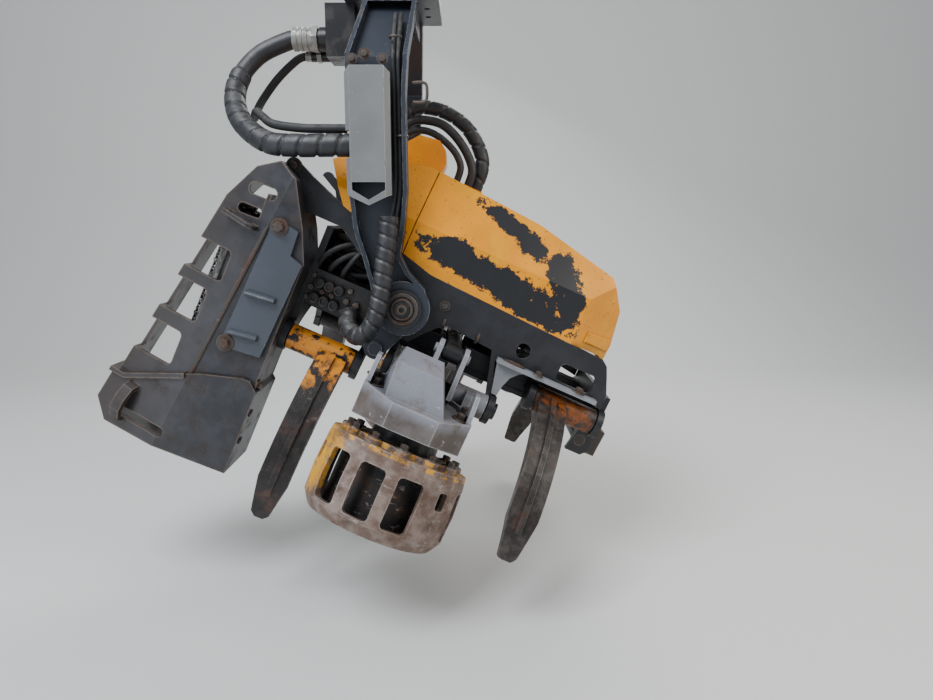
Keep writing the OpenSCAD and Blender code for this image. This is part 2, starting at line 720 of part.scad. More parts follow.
module bar_holder() color(worn_grey) on_head() translate([0, bar_y, bar_z]) difference() {
    union() {
        rod_x(bar_x + bar_t / 2 + 1, bar_x + bar_t / 2 + 11, 44);
        rod_x(rod_eye_x - 34, rod_eye_x - 22, nose_r + 10);
        slab_x(rod_eye_x - 34, rod_eye_x - 22) hull() {
            circle(nose_r + 10);
            translate([-lever_r * cos(lever_angle), lever_r * sin(lever_angle)]) circle(15);
        }
        translate([0, -lever_r * cos(lever_angle), lever_r * sin(lever_angle)])
            rod_x(rod_eye_x - 34, rod_eye_x + 14, 11);
    }
    rod_x(-past, past, nose_r + run_c);
}

module saw_bar() color(worn_grey) on_head() translate([0, bar_y, bar_z])
    slab_x(bar_x - bar_t / 2, bar_x + bar_t / 2) difference() {
        union() {
            translate([-bar_w / 2, -bar_len + bar_w / 2]) square([bar_w, bar_len - bar_w]);
            translate([0, -bar_len + bar_w / 2]) circle(bar_w / 2);
            translate([0, -bar_w / 2 - 8]) circle(bar_w / 2);
        }
        circle(nose_r + 6);
    }

lever_pin = [bar_y - lever_r * cos(lever_angle), bar_z + lever_r * sin(lever_angle)];
module bar_cylinder() color(black) on_head() translate([0, lever_pin[0], 0]) {
    difference() {
        union() {
            translate([0, 0, lever_pin[1]]) rod_x(rod_eye_x - 12, rod_eye_x + 12, 20);
            translate([rod_eye_x, 0, -250]) cylinder(h = 250 + lever_pin[1] - 16, r = 20);
        }
        translate([0, 0, lever_pin[1]]) rod_x(-past, past, 11 + run_c);
        translate([rod_eye_x, 0, -251]) cylinder(h = 250, r = 11 + run_c);
    }
}
module bar_rod() color("silver") on_head() translate([0, lever_pin[0], 0]) difference() {
    union() {
        translate([rod_eye_x, 0, bar_pin_z + 20]) cylinder(h = 260 - 20, r = 11);
        translate([0, 0, bar_pin_z]) rod_x(rod_eye_x - 12, rod_eye_x + 12, bar_pin_r + eye_play + 9);
    }
    translate([0, 0, bar_pin_z]) rod_x(-past, past, bar_pin_r + eye_play);
}

// Feed rollers: drawn on the far side and mirrored for the near one

roller_x = 150;
roller_top = -333;
clevis_y = 330;
clevis_z = -58;
housing_x = 140;
housing_r = 161;
deck_z = -192;
skirt_low = -285;
rim_h = 12;
// Turns what is drawn round the roller's upright axis to its lean
module leaning() translate([0, roller_y, roller_top]) rotate([roller_lean, 0, 0])
    translate([0, -roller_y, -roller_top]) children();

// Eight-sided skirt with a raised rim round its deck, and a four-sided hump on the deck
module motor_housing() {
    module octagon(r) rotate(22.5) circle(r, $fn = 8);
    difference() {
        translate([housing_x, roller_y, skirt_low - 60]) linear_extrude(deck_z + rim_h - skirt_low + 60)
            octagon(housing_r);
        translate([housing_x, roller_y, deck_z]) linear_extrude(rim_h + 1) octagon(housing_r - 9);
        leaning() translate([-past, -past, skirt_low - past]) cube([2 * past, 2 * past, past]);
    }
    intersection() {
        slab_y(roller_y - 200, roller_y + 75)
            polygon([[28, deck_z - 1], [54, -78], [164, -78], [216, deck_z - 1]]);
        slab_x(0, 260) polygon([[290, deck_z - 1], [322, -94], [392, -78], [490, -103], [521, deck_z - 1]]);
        translate([0, 0, deck_z - 1]) linear_extrude(130)
            polygon([[4, 280], [218, 280], [218, 530], [56, 530]]);
    }
    // Bracket plates at both ends of the deck
    for (x = [-8, 276]) slab_x(x, x + 12)
        polygon([[400, deck_z - 1], [486, deck_z - 1], [478, -166], [440, -118], [400, -118]]);
}
ear_x = [132, 208];
ear_t = 13;
// Radius kept free round the clevis pin for the barrel that rocks there
ear_room = 42;
module roller_arm() {
    difference() {
        union() {
            for (x = [[31, ear_x[0] + ear_t], [ear_x[1], 329]])
                translate([0, arm_y, arm_z]) rod_x(x[0], x[1], arm_pin_r + 13);
            for (x = [40, ear_x[0] - 9, ear_x[1], 260]) slab_x(x, x + 22)
                polygon([[arm_y, arm_z + arm_pin_r + 12], [roller_y - 130, -150], [roller_y - 110, -297],
                         [roller_y - 140, -297], [arm_y, arm_z - arm_pin_r - 12]]);
            for (x = ear_x) slab_x(x, x + ear_t) {
                polygon([[arm_y, arm_z + 30], [clevis_y - 30, clevis_z + 16], [clevis_y + 30, clevis_z + 16],
                         [clevis_y + 66, -170], [arm_y + 60, -200]]);
                translate([clevis_y, clevis_z]) circle(30);
            }
            motor_housing();
        }
        translate([0, arm_y, arm_z]) rod_x(-past, past, arm_pin_r + run_c);
        // Room for the cylinder between the ears
        translate([0, clevis_y, clevis_z]) rod_x(ear_x[0] + ear_t, ear_x[1], ear_room);
        translate([ear_x[0] + ear_t, 0, clevis_z - ear_room])
            cube([ear_x[1] - ear_x[0] - ear_t, clevis_y, 2 * ear_room]);
    }
    translate([0, clevis_y, clevis_z]) rod_x(ear_x[0] - 8, ear_x[1] + ear_t + 8, clevis_pin_r);
}
module roller_arm_far() color(worn_grey) on_head() roller_arm();
module roller_arm_near() color(worn_grey) on_head() mirror([0, 1, 0]) roller_arm();

motor_r = 92;
motor_low = -455;
module roller_motor() leaning() translate([roller_x, roller_y, motor_low])
    cylinder(h = skirt_low - motor_low, r = motor_r);
module roller_motor_far() color(black) on_head() roller_motor();
module roller_motor_near() color(black) on_head() mirror([0, 1, 0]) roller_motor();

window_n = 12;
sleeve_r = 144;
module feed_roller() leaning() translate([roller_x, roller_y, 0]) {
    low = roller_top - roller_h;
    difference() {
        rotate_extrude() polygon([
            [motor_r + run_c, roller_top], [roller_r - 8, roller_top], [roller_r - 4, roller_top - 26],
            [roller_r, roller_top - 110], [roller_r - 4, low + 30], [roller_r - 24, low],
            [roller_r - 24 - roller_wall, low], [roller_r - 4 - roller_wall, low + 30],
            [roller_r - roller_wall, roller_top - 110], [roller_r - 4 - roller_wall, roller_top - 12],
            [sleeve_r, roller_top - 12], [sleeve_r, low + 24], [sleeve_r - 12, low + 24],
            [sleeve_r - 12, roller_top - 12], [motor_r + run_c, roller_top - 12]
        ]);
        // Every fourth window is a small one near the rim
        for (i = [0 : window_n - 1]) rotate([0, 0, (i + 0.5) * 360 / window_n])
            slab_x(sleeve_r + 6, 240)
                if (i % 4 == 1) round_rect(-16, roller_top - 92, 16, roller_top - 46, 8);
                else round_rect(-34, low + 38, 34, roller_top - 42, 12);
    }
    difference() {
        translate([0, 0, roller_top]) union() {
            cylinder(h = 14, r = 150);
            for (i = [0 : window_n - 1]) rotate([0, 0, i * 360 / window_n])
                translate([150, 0, 0]) cylinder(h = 14, r = 22);
        }
        translate([0, 0, roller_top - 1]) cylinder(h = 20, r = motor_r + run_c);
    }
}
module feed_roller_far() color(rust) on_head() feed_roller();
module feed_roller_near() color(rust) on_head() mirror([0, 1, 0]) feed_roller();

// The cylinder that squeezes both roller arms: barrel on the near arm, rod on the far arm
module arm_cylinder() color(black) on_head() difference() {
    union() {
        translate([0, -clevis_y, clevis_z]) rod_x(152, 201, 25);
        translate([barrel_x, 0, clevis_z]) rod_y(-clevis_y + 20, 60, barrel_r);
    }
    translate([0, -clevis_y, clevis_z]) rod_x(-past, past, clevis_pin_r + run_c);
    translate([barrel_x, 0, clevis_z]) rod_y(-clevis_y + 60, past, 16 + run_c);
}
module arm_rod() color("silver") on_head() difference() {
    union() {
        translate([0, clevis_y, clevis_z]) rod_x(152, 201, 25);
        translate([barrel_x, 0, clevis_z]) rod_y(-120, clevis_y - 20, 16);
    }
    translate([0, clevis_y, clevis_z]) rod_x(-past, past, clevis_pin_r + run_c);
}

// Knives: drawn hanging straight down from their pin, bulge towards +Y, then swung open

knife_bow_r = (knife_len * knife_len / 4 + knife_sag * knife_sag) / (2 * knife_sag);
knife_bow_a = asin(knife_len / 2 / knife_bow_r);
bow_steps = 14;
// A point of the blade's middle line at share u of its length, moved outward by t
function bow_point(u, t) = let (a = knife_bow_a * (1 - 2 * u))
    [-(knife_bow_r - knife_sag) + (knife_bow_r + t) * cos(a), -knife_len / 2 + (knife_bow_r + t) * sin(a)];
function blade_half_t(u) = (knife_root_t + (knife_tip_t - knife_root_t) * u) / 2;
module knife(x_hub0, x_hub1, x_blade) {
    difference() {
        union() {
            rod_x(x_hub0, x_hub1, knife_hub_r);
            // Ridge along the blade's outer side
            slab_x(x_blade - 8, x_blade + 8) polygon(concat(
                [for (i = [1 : bow_steps - 2]) bow_point(i / bow_steps, blade_half_t(i / bow_steps) + 8)],
                [for (i = [bow_steps - 2 : -1 : 1]) bow_point(i / bow_steps, 0)]
            ));
            intersection() {
                slab_x(x_blade - knife_w / 2, x_blade + knife_w / 2) polygon(concat(
                    [for (i = [0 : bow_steps]) bow_point(i / bow_steps, blade_half_t(i / bow_steps))],
                    [for (i = [bow_steps : -1 : 0]) bow_point(i / bow_steps, -blade_half_t(i / bow_steps))]
                ));
                slab_y(-past, past) polygon([
                    [x_blade - knife_w / 2, 60], [x_blade + knife_w / 2, 60],
                    [x_blade + knife_w / 2, -knife_len * 0.8],
                    [x_blade + knife_w * 0.3, -knife_len + 8], [x_blade, -knife_len - 14],
                    [x_blade - knife_w * 0.3, -knife_len + 8], [x_blade - knife_w / 2, -knife_len * 0.8]
                ]);
            }
        }
        rod_x(-past, past, knife_pin_r + run_c);
    }
}
hub_gap = 3;
rear_hub = [rear_x0 + cross_t + hub_gap, -70 - hub_gap];
front_hub = [430 + cross_t + hub_gap, 648 - hub_gap];
module rear_knife(x_blade) translate([0, knife_y_rear, knife_z_rear]) rotate([rear_open, 0, 0])
    knife(rear_hub[0], rear_hub[1], x_blade);
module front_knife(x_blade) translate([0, knife_y_front, knife_z_front]) rotate([front_open, 0, 0])
    knife(front_hub[0], front_hub[1], x_blade);
module knife_rear_far() color(black) on_head() rear_knife(-219);
module knife_rear_near() color(black) on_head() mirror([0, 1, 0]) rear_knife(-130);
module knife_front_far() color(black) on_head() front_knife(594);
module knife_front_near() color(black) on_head() mirror([0, 1, 0]) front_knife(505);

module top_knife() color(worn_grey) on_head() {
    difference() {
        slab_y(-155, 155)
            polygon([[636, -150], [671, -110], [722, -126], [718, -238], [692, -246], [636, -196]]);
        translate([0, 0, -stem_z - 5]) rod_x(0, past, stem_r - 15);
        translate([600, -120, -205]) cube([72, 240, 120]);
    }
    translate([651, 0, -172]) rod_y(-180, 180, 18);
}

wheel_c = [404, -84];
wheel_pin = [500, -75];
wheel_pin_r = 12;
module measuring_arm() color(grey) on_head() difference() {
    union() {
        for (y = [-26, 16]) slab_y(y, y + 10) {
            translate(wheel_c) circle(16);
            translate(wheel_pin) circle(22);
            polygon([wheel_c + [-5, 14], wheel_c + [7, -14], wheel_pin + [9, -19], wheel_pin + [-9, 19]]);
        }
        translate([wheel_pin[0], 0, wheel_pin[1]]) rod_y(-20, 20, 18);
        translate([wheel_c[0], 0, wheel_c[1]]) rod_y(-20, 20, 8);
    }
    translate([wheel_pin[0], 0, wheel_pin[1]]) rod_y(-past, past, wheel_pin_r + run_c);
}
module measuring_wheel() color(worn_grey) on_head() translate([wheel_c[0], 0, wheel_c[1]]) difference() {
    rod_y(-13, 13, 74);
    rod_y(-past, past, 8 + run_c);
}

rotator_link();
rotator_housing();
rotator_flange();
hanger_crown();
hanger_leg_near();
hanger_leg_far();
hose_guard();
port_block();
hose_loop_thick();
hose_loop_thin();
leg_hoses();
pivot_hoses();
far_hoses();
side_plate_near();
side_plate_far();
frame_rear();
frame_front();
tilt_pins();
cover_front();
cover_rear();
valve_block();
saw_box();
saw_boot();
saw_guard_plate();
saw_motor();
bar_holder();
saw_bar();
bar_cylinder();
bar_rod();
roller_arm_near();
roller_arm_far();
roller_motor_near();
roller_motor_far();
feed_roller_near();
feed_roller_far();
arm_cylinder();
arm_rod();
knife_front_near();
knife_front_far();
knife_rear_near();
knife_rear_far();
top_knife();
measuring_arm();
measuring_wheel();
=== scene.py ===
# %% [markdown]
# # A harvester head in Blender
# The head hangs from a fork-shaped hanger under a rotator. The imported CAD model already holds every
# piece that carries load, at its real size. This script dresses that frame: it loads it, gives each
# piece the finish it has in the forest, and adds hoses, bolts, chain and worn trim around it.

# %% Load the frame
import math

import bmesh
import bpy
from mathutils import Matrix, Vector


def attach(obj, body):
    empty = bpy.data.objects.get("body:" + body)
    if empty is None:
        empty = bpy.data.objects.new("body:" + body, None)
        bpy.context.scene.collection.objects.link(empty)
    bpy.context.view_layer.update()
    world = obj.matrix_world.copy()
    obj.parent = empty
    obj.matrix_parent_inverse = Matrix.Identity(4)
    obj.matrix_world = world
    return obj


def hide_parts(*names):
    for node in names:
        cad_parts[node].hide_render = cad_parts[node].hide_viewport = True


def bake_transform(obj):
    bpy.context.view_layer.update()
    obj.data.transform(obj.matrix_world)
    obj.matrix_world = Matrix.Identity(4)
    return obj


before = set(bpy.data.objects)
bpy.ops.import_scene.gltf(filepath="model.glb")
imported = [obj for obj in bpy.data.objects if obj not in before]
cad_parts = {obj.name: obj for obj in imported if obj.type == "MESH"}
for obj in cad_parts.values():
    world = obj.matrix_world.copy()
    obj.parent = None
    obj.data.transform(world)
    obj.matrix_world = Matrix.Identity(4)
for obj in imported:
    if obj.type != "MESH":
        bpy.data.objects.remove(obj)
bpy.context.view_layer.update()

# %% [markdown]
# Blender works in metres, but a workshop drawing is in millimetres, so shapes below are written in
# millimetres and turned into metres in one place. Two places are used: PIVOT is the tilt pivot,
# upright as the hanger is, and HEAD is the same point turned with the head's nose-down angle.

# %% Places
PIVOT = Matrix.Translation((0.035, 0.0, -1.16))
HEAD_ANGLE = math.radians(24)
NEAR = (0, -1, 0)
HEAD = PIVOT @ Matrix.Rotation(HEAD_ANGLE, 4, "Y")


def in_metres(point, place):
    """A point in millimetres in a place, as metres in the row frame."""
    return place @ (Vector(point) / 1000)


print("tilt pivot:", [round(c, 3) for c in in_metres((0, 0, 0), PIVOT)])

# %% [markdown]
# The camera stands where the photographer stood: about 2.2 m in front of the head, a little above
# the tilt pivot, with a phone's wide lens looking ten degrees down. A wide lens so close makes near
# pieces look large, so the distance and the focal length both have to be right.

# %% Camera
PHOTO_WIDTH = 933
FOCAL_PIXELS = 690

camera_data = bpy.data.cameras.new("camera")
camera_data.sensor_width = 36.0
camera_data.sensor_fit = "HORIZONTAL"
camera_data.lens = FOCAL_PIXELS / PHOTO_WIDTH * camera_data.sensor_width
camera_data.clip_start = 0.02
camera = bpy.data.objects.new("camera", camera_data)
camera.location = (0.2128, -2.223, -0.9403)
camera.rotation_euler = (math.radians(80), 0, 0)
bpy.context.collection.objects.link(camera)
bpy.context.scene.camera = camera
print("lens:", round(camera_data.lens, 1), "mm")

# %% [markdown]
# A piece is easiest to judge on a plain pale floor that bends up into a plain wall, as in a photo
# studio. Large area lamps stand in for the bright sky above a forest clearing: the main one high on
# the left, a weaker one on the right, and one behind that draws a thin line of light on the edges.

# %% Helper that turns sRGB hex into the linear colours Blender computes with
def linear(hex_colour):
    """'#rrggbb' as a linear RGBA tuple."""
    values = [int(hex_colour[i:i + 2], 16) / 255 for i in (1, 3, 5)]
    return tuple(v / 12.92 if v <= 0.04045 else ((v + 0.055) / 1.055) ** 2.4 for v in values) + (1.0,)


# %% Helper that adds a shader node
def add(tree, kind, settings=None):
    """One new node. settings set its options and inputs: a hex string becomes a linear colour, and
    the output of another node is linked."""
    node = tree.nodes.new("ShaderNode" + kind)
    for key, value in (settings or {}).items():
        if isinstance(value, bpy.types.NodeSocket):
            tree.links.new(value, node.inputs[key])
        elif isinstance(key, int) or key in node.inputs:
            hexed = isinstance(value, str) and value.startswith("#")
            node.inputs[key].default_value = linear(value) if hexed else value
        else:
            setattr(node, key, value)
    return node


# Options of the two nodes that come up most: a product of masks, and one colour laid over another
PRODUCT = {"operation": "MULTIPLY", "use_clamp": True}
OVER = {"data_type": "RGBA", "clamp_factor": True}


def layered(tree, colour, *layers):
    """Lays colours over a first one, each with the mask that says where it shows."""
    for over, share in layers:
        colour = add(tree, "Mix", {**OVER, 6: colour, 7: over, 0: share}).outputs[2]
    return colour


def new_material(name):
    """An empty material with its tree, its output node and no shader yet."""
    material = bpy.data.materials.new(name)
    material.use_nodes = True
    material.node_tree.nodes.clear()
    output = add(material.node_tree, "OutputMaterial")
    return material, material.node_tree, output


# %% Floor, wall and lamps
FLOOR_Z = -1.97
WALL_Y, WALL_TOP = 4.2, 7.0
BEND, BEND_STEPS = 1.6, 16
HALF_WIDTH = 9.0
SKY_STRENGTH = 0.5


def studio_material():
    material, tree, output = new_material("pale_painted_studio_wall")
    where = add(tree, "TexCoord").outputs["Object"]
    grain = add(tree, "TexNoise", {"Scale": 3.0, "Detail": 3.0, "Vector": where}).outputs["Fac"]
    tone = add(tree, "MapRange", {"To Min": 0.985, "To Max": 1.0, "Value": grain}).outputs[0]
    colour = add(tree, "HueSaturation", {"Color": "#d9d9d6", "Value": tone}).outputs["Color"]
    shader = add(tree, "BsdfPrincipled", {"Roughness": 0.9, "Base Color": colour})
    tree.links.new(shader.outputs[0], output.inputs[0])
    return material


def studio():
    """One sheet: floor towards the camera, a round bend, and the wall."""
    profile = [(-HALF_WIDTH, FLOOR_Z), (WALL_Y - BEND, FLOOR_Z)]
    for i in range(1, BEND_STEPS + 1):
        a = math.radians(90 * i / BEND_STEPS)
        profile.append((WALL_Y - BEND + BEND * math.sin(a), FLOOR_Z + BEND * (1 - math.cos(a))))
    profile.append((WALL_Y, WALL_TOP))
    verts = [(x, y, z) for y, z in profile for x in (-HALF_WIDTH, HALF_WIDTH)]
    faces = [(2 * i, 2 * i + 1, 2 * i + 3, 2 * i + 2) for i in range(len(profile) - 1)]
    mesh = bpy.data.meshes.new("studio_floor_and_wall")
    mesh.from_pydata(verts, [], faces)
    mesh.polygons.foreach_set("use_smooth", [True] * len(faces))
    sheet = bpy.data.objects.new(mesh.name, mesh)
    sheet.data.materials.append(studio_material())
    bpy.context.collection.objects.link(sheet)


# name, place, point it looks at, side in metres, watts, colour
LAMPS = [
    ("sky_lamp", (-1.6, -2.2, 2.4), (0.0, 0.0, -0.9), 2.4, 215, "#f4f8ff"),
    ("side_lamp", (3.0, -1.6, 0.4), (0.1, 0.0, -1.1), 2.2, 55, "#fff6ea"),
    ("edge_lamp", (1.2, 2.8, 1.6), (0.0, 0.0, -0.9), 2.0, 90, "#ffffff"),
    ("low_lamp", (-2.2, -2.4, -1.2), (-0.2, 0.0, -1.3), 1.6, 22, "#eef4ff"),
]


def lamps():
    for name, place, target, side, watts, colour in LAMPS:
        data = bpy.data.lights.new(name, "AREA")
        data.size, data.energy, data.color = side, watts, linear(colour)[:3]
        lamp = bpy.data.objects.new(name, data)
        lamp.location = place
        lamp.rotation_euler = (Vector(target) - Vector(place)).to_track_quat("-Z", "Y").to_euler()
        bpy.context.collection.objects.link(lamp)
    world = bpy.data.worlds.new("even_sky")
    world.use_nodes = True
    sky = world.node_tree.nodes["Background"].inputs
    sky["Color"].default_value = linear("#dfe6ee")
    sky["Strength"].default_value = SKY_STRENGTH
    bpy.context.scene.world = world
    print("lamps:", len(LAMPS))


studio()
lamps()

# %% [markdown]
# Every finish on this machine is the same story told with different numbers: a coat (paint, rust or
# forge scale), what lies under it and shows where branches rub, patches of soil, and black grease deep
# inside, which is also painted shade: ambient occlusion darkens every hollow and gap to near black. One
# function tells that story. Edges are found by comparing the true surface normal with one that is
# rounded over a few millimetres: they differ only near an edge, which is where paint goes first.

# %% Patterns that every finish uses
def head_millimetres(tree):
    """Where a point of the piece is, in millimetres from the tilt pivot and turned with the head."""
    where = add(tree, "TexCoord").outputs["Object"]
    return add(tree, "Mapping", {
        "vector_type": "TEXTURE",
        "Location": PIVOT.to_translation(),
        "Rotation": (0, HEAD_ANGLE, 0),
        "Scale": (0.001, 0.001, 0.001),
        "Vector": where,
    }).outputs["Vector"]


def patches(tree, where, size_mm, low, high, detail=5.0, stretch=(1, 1, 1), shift=0.0):
    """0 to 1 in patches of about size_mm: low and high are where the noise starts and ends to show."""
    moved = add(tree, "Mapping", {"Location": (shift,) * 3, "Scale": stretch, "Vector": where}).outputs[0]
    noise = add(tree, "TexNoise", {
        "Scale": 1.0 / size_mm, "Detail": detail, "Roughness": 0.6, "Vector": moved})
    return add(tree, "MapRange", {
        "interpolation_type": "SMOOTHSTEP", "From Min": low, "From Max": high,
        "Value": noise.outputs["Fac"]}).outputs[0]


def rubbed_edges(tree, width_mm):
    """1 on sharp edges, 0 on flats."""
    rounded = add(tree, "Bevel", {"samples": 4, "Radius": width_mm / 1000}).outputs["Normal"]
    true_normal = add(tree, "NewGeometry").outputs["Normal"]
    same = add(tree, "VectorMath", {"operation": "DOT_PRODUCT", 0: rounded, 1: true_normal})
    return add(tree, "MapRange", {
        "From Min": 0.995, "From Max": 0.90, "Value": same.outputs["Value"]}).outputs[0]


# %% The finish function
PAINT_IOR = 1.5
SOIL_ROUGHNESS = 0.88
SHELTER_METRES = 0.12
GRAIN_METRES = 0.0012
# Near black for grease and for painted shade, laid wherever ambient occlusion finds a hollow
GREASE_AND_PAINTED_SHADE = "#0d0c0b"
# Size of the patches in mm
TONE_MM, RUB_MM, SCRAPE_MM, SOIL_MM, FINE_MM, GRAIN_MM = 160, 22, 20, 70, 5, 4


def weathered(name, coat, under, soil, coat_rough, rub, scrape, soil_at,
              under_rough=0.35, under_metal=0.8, edge_mm=3.0, grain=0.25):
    """A coated, rubbed and soiled metal surface, with grease and painted shade darkening its hollows.

    coat is a hex colour, or a function of (tree, where) that returns a colour output. rub and scrape
    say how much of the edges and of the flats is bare: lower numbers are more. soil_at is the same
    for soil.
    """
    material, tree, output = new_material(name)
    where = head_millimetres(tree)
    coat_colour = coat(tree, where) if callable(coat) else coat
    tone = patches(tree, where, TONE_MM, 0.3, 0.7)
    shaded = add(tree, "HueSaturation", {"Value": 0.80, "Color": coat_colour}).outputs["Color"]
    colour = add(tree, "Mix", {**OVER, 6: shaded, 7: coat_colour, 0: tone}).outputs[2]
    # Bare metal: rubbed edges broken up by noise, and long thin scrapes on the flats
    edge_noise = patches(tree, where, RUB_MM, *rub)
    edges = add(tree, "Math", {**PRODUCT, 0: rubbed_edges(tree, edge_mm), 1: edge_noise}).outputs[0]
    scrapes = patches(tree, where, SCRAPE_MM, *scrape, detail=10.0, stretch=(0.6, 1.0, 1.3), shift=70)
    bare = add(tree, "Math", {"operation": "MAXIMUM", 0: edges, 1: scrapes}).outputs[0]
    # Soil lies in patches, each with a fine grain
    soil_patch = patches(tree, where, SOIL_MM, *soil_at, detail=9.0, shift=31)
    fine = patches(tree, where, FINE_MM, 0.35, 0.65, detail=3.0)
    thin = add(tree, "MapRange", {"To Min": 0.45, "Value": fine}).outputs[0]
    soil_mask = add(tree, "Math", {**PRODUCT, 0: soil_patch, 1: thin}).outputs[0]
    # Painted shade and black grease: ambient occlusion darkens hollows, gaps and what lies under other parts
    # to near black
    shelter = add(tree, "AmbientOcclusion", {"samples": 4, "Distance": SHELTER_METRES}).outputs["AO"]
    grease_and_painted_shade = add(tree, "MapRange", {
        "From Min": 0.42, "From Max": 0.1, "To Max": 0.88, "Value": shelter}).outputs[0]
    colour = layered(tree, colour, (under, bare), (soil, soil_mask), (GREASE_AND_PAINTED_SHADE, grease_and_painted_shade))
    roughness = add(tree, "Mix", {"data_type": "FLOAT", 2: coat_rough, 3: under_rough, 0: bare}).outputs[0]
    roughness = add(tree, "Mix", {"data_type": "FLOAT", 3: SOIL_ROUGHNESS, 0: soil_mask, 2: roughness}
                    ).outputs[0]
    metal = add(tree, "Math", {"operation": "MULTIPLY", 1: under_metal, 0: bare}).outputs[0]
    not_soiled = add(tree, "Math", {"operation": "SUBTRACT", 0: 1.0, 1: soil_mask}).outputs[0]
    metal = add(tree, "Math", {**PRODUCT, 0: metal, 1: not_soiled}).outputs[0]
    height = add(tree, "TexNoise", {"Scale": 1 / GRAIN_MM, "Detail": 6.0, "Vector": where}).outputs["Fac"]
    lumps = add(tree, "Math", {**PRODUCT, 0: soil_mask, 1: fine}).outputs[0]
    height = add(tree, "Math", {"operation": "ADD", 0: height, 1: lumps}).outputs[0]
    bump = add(tree, "Bump", {"Strength": grain, "Distance": GRAIN_METRES, "Height": height}).outputs[0]
    shader = add(tree, "BsdfPrincipled", {
        "IOR": PAINT_IOR, "Base Color": colour, "Roughness": roughness, "Metallic": metal, "Normal": bump})
    tree.links.new(shader.outputs[0], output.inputs[0])
    return material


# %% [markdown]
# The frame and the hanger are welded plate under satin two-part paint, sprayed dark grey. Paint on
# steel has an index of refraction near 1.5. The saw box carries the same paint, but it drags along
# the ground, so most of it is gone, and brown rust shows along each edge. Knives and rollers were
# never meant to keep paint: they are cast steel with dark scale, polished where bark rubs them.

# %% Patches round a point
def around(tree, where, centre, reach_mm, soft_mm, ragged):
    """1 inside reach_mm of a point in the head's frame, with a ragged edge."""
    away = add(tree, "VectorMath", {"operation": "DISTANCE", 1: centre, 0: where}).outputs["Value"]
    noise = add(tree, "TexNoise", {"Scale": 1 / 26, "Detail": 8.0, "Roughness": 0.7, "Vector": where})
    reach, soft = soft_mm * ragged * 4, soft_mm / 2
    waver = add(tree, "Math", {"operation": "MULTIPLY_ADD", 1: reach, 2: -reach / 2,
                               0: noise.outputs["Fac"]}).outputs[0]
    edge = add(tree, "Math", {"operation": "ADD", 0: away, 1: waver}).outputs[0]
    return add(tree, "MapRange", {
        "From Min": reach_mm + soft, "From Max": reach_mm - soft, "Value": edge}).outputs[0]


# %% The cover's coat
# Peeling film on the cover: middle x and z, lean in degrees, half length and half width, in mm
FILM_PATCHES = [
    (195, 178, -3, 235, 42), (330, 140, -4, 150, 34), (385, 262, -50, 72, 46), (432, 196, -70, 78, 40),
    (172, 338, -14, 90, 26), (262, 308, -26, 66, 32), (52, 200, 22, 62, 36),
]
ORANGE, FADED_ORANGE, SPECK, FILM = "#f29a00", "#f7ab0c", "#8a5b1c", "#242529"
# The film sticks on the cover's flat sides, this far from the middle
FILM_FROM, FILM_FULL = 158, 162


def cover_coat(tree, where):
    """Orange paint with a torn dark decal film that holds no words."""
    apart = add(tree, "SeparateXYZ", {0: where})
    side = add(tree, "Math", {"operation": "ABSOLUTE", 0: apart.outputs["Y"]}).outputs[0]
    flat = add(tree, "CombineXYZ", {"X": apart.outputs["X"], "Y": apart.outputs["Z"]}).outputs[0]
    noise = add(tree, "TexNoise", {"Scale": 1 / 30, "Detail": 14.0, "Roughness": 0.74, "Vector": where})
    nearest = None
    for x, z, lean, half_length, half_width in FILM_PATCHES:
        local = add(tree, "Mapping", {
            "vector_type": "TEXTURE", "Location": (x, z, 0), "Rotation": (0, 0, math.radians(lean)),
            "Scale": (half_length, half_width, 1), "Vector": flat}).outputs["Vector"]
        away = add(tree, "VectorMath", {"operation": "LENGTH", 0: local}).outputs["Value"]
        nearest = away if nearest is None else add(
            tree, "Math", {"operation": "MINIMUM", 0: nearest, 1: away}).outputs[0]
    torn = add(tree, "Math", {"operation": "MULTIPLY_ADD", 1: 2.5, 2: -1.25, 0: noise.outputs["Fac"]}
               ).outputs[0]
    edge = add(tree, "Math", {"operation": "ADD", 0: nearest, 1: torn}).outputs[0]
    film = add(tree, "MapRange", {"From Min": 1.03, "From Max": 0.97, "Value": edge}).outputs[0]
    on_side = add(tree, "MapRange", {"From Min": FILM_FROM, "From Max": FILM_FULL, "Value": side}).outputs[0]
    pale = patches(tree, where, 120, 0.45, 0.75, shift=9)
    specks = patches(tree, where, 9, 0.66, 0.74, detail=2.0)
    on_panel = add(tree, "Math", {**PRODUCT, 0: film, 1: on_side}).outputs[0]
    return layered(tree, ORANGE, (FADED_ORANGE, pale), (SPECK, specks), (FILM, on_panel))


# %% The rollers' coat
# Middle of the far roller's flange and its lean; the near one mirrors it
ROLLER_FLANGE, ROLLER_LEAN = (150, 450, -333), 14
# Radius inside the drum's wall, and the height of the drum's top under the flange
DRUM_INSIDE, DRUM_TOP = 158, -9


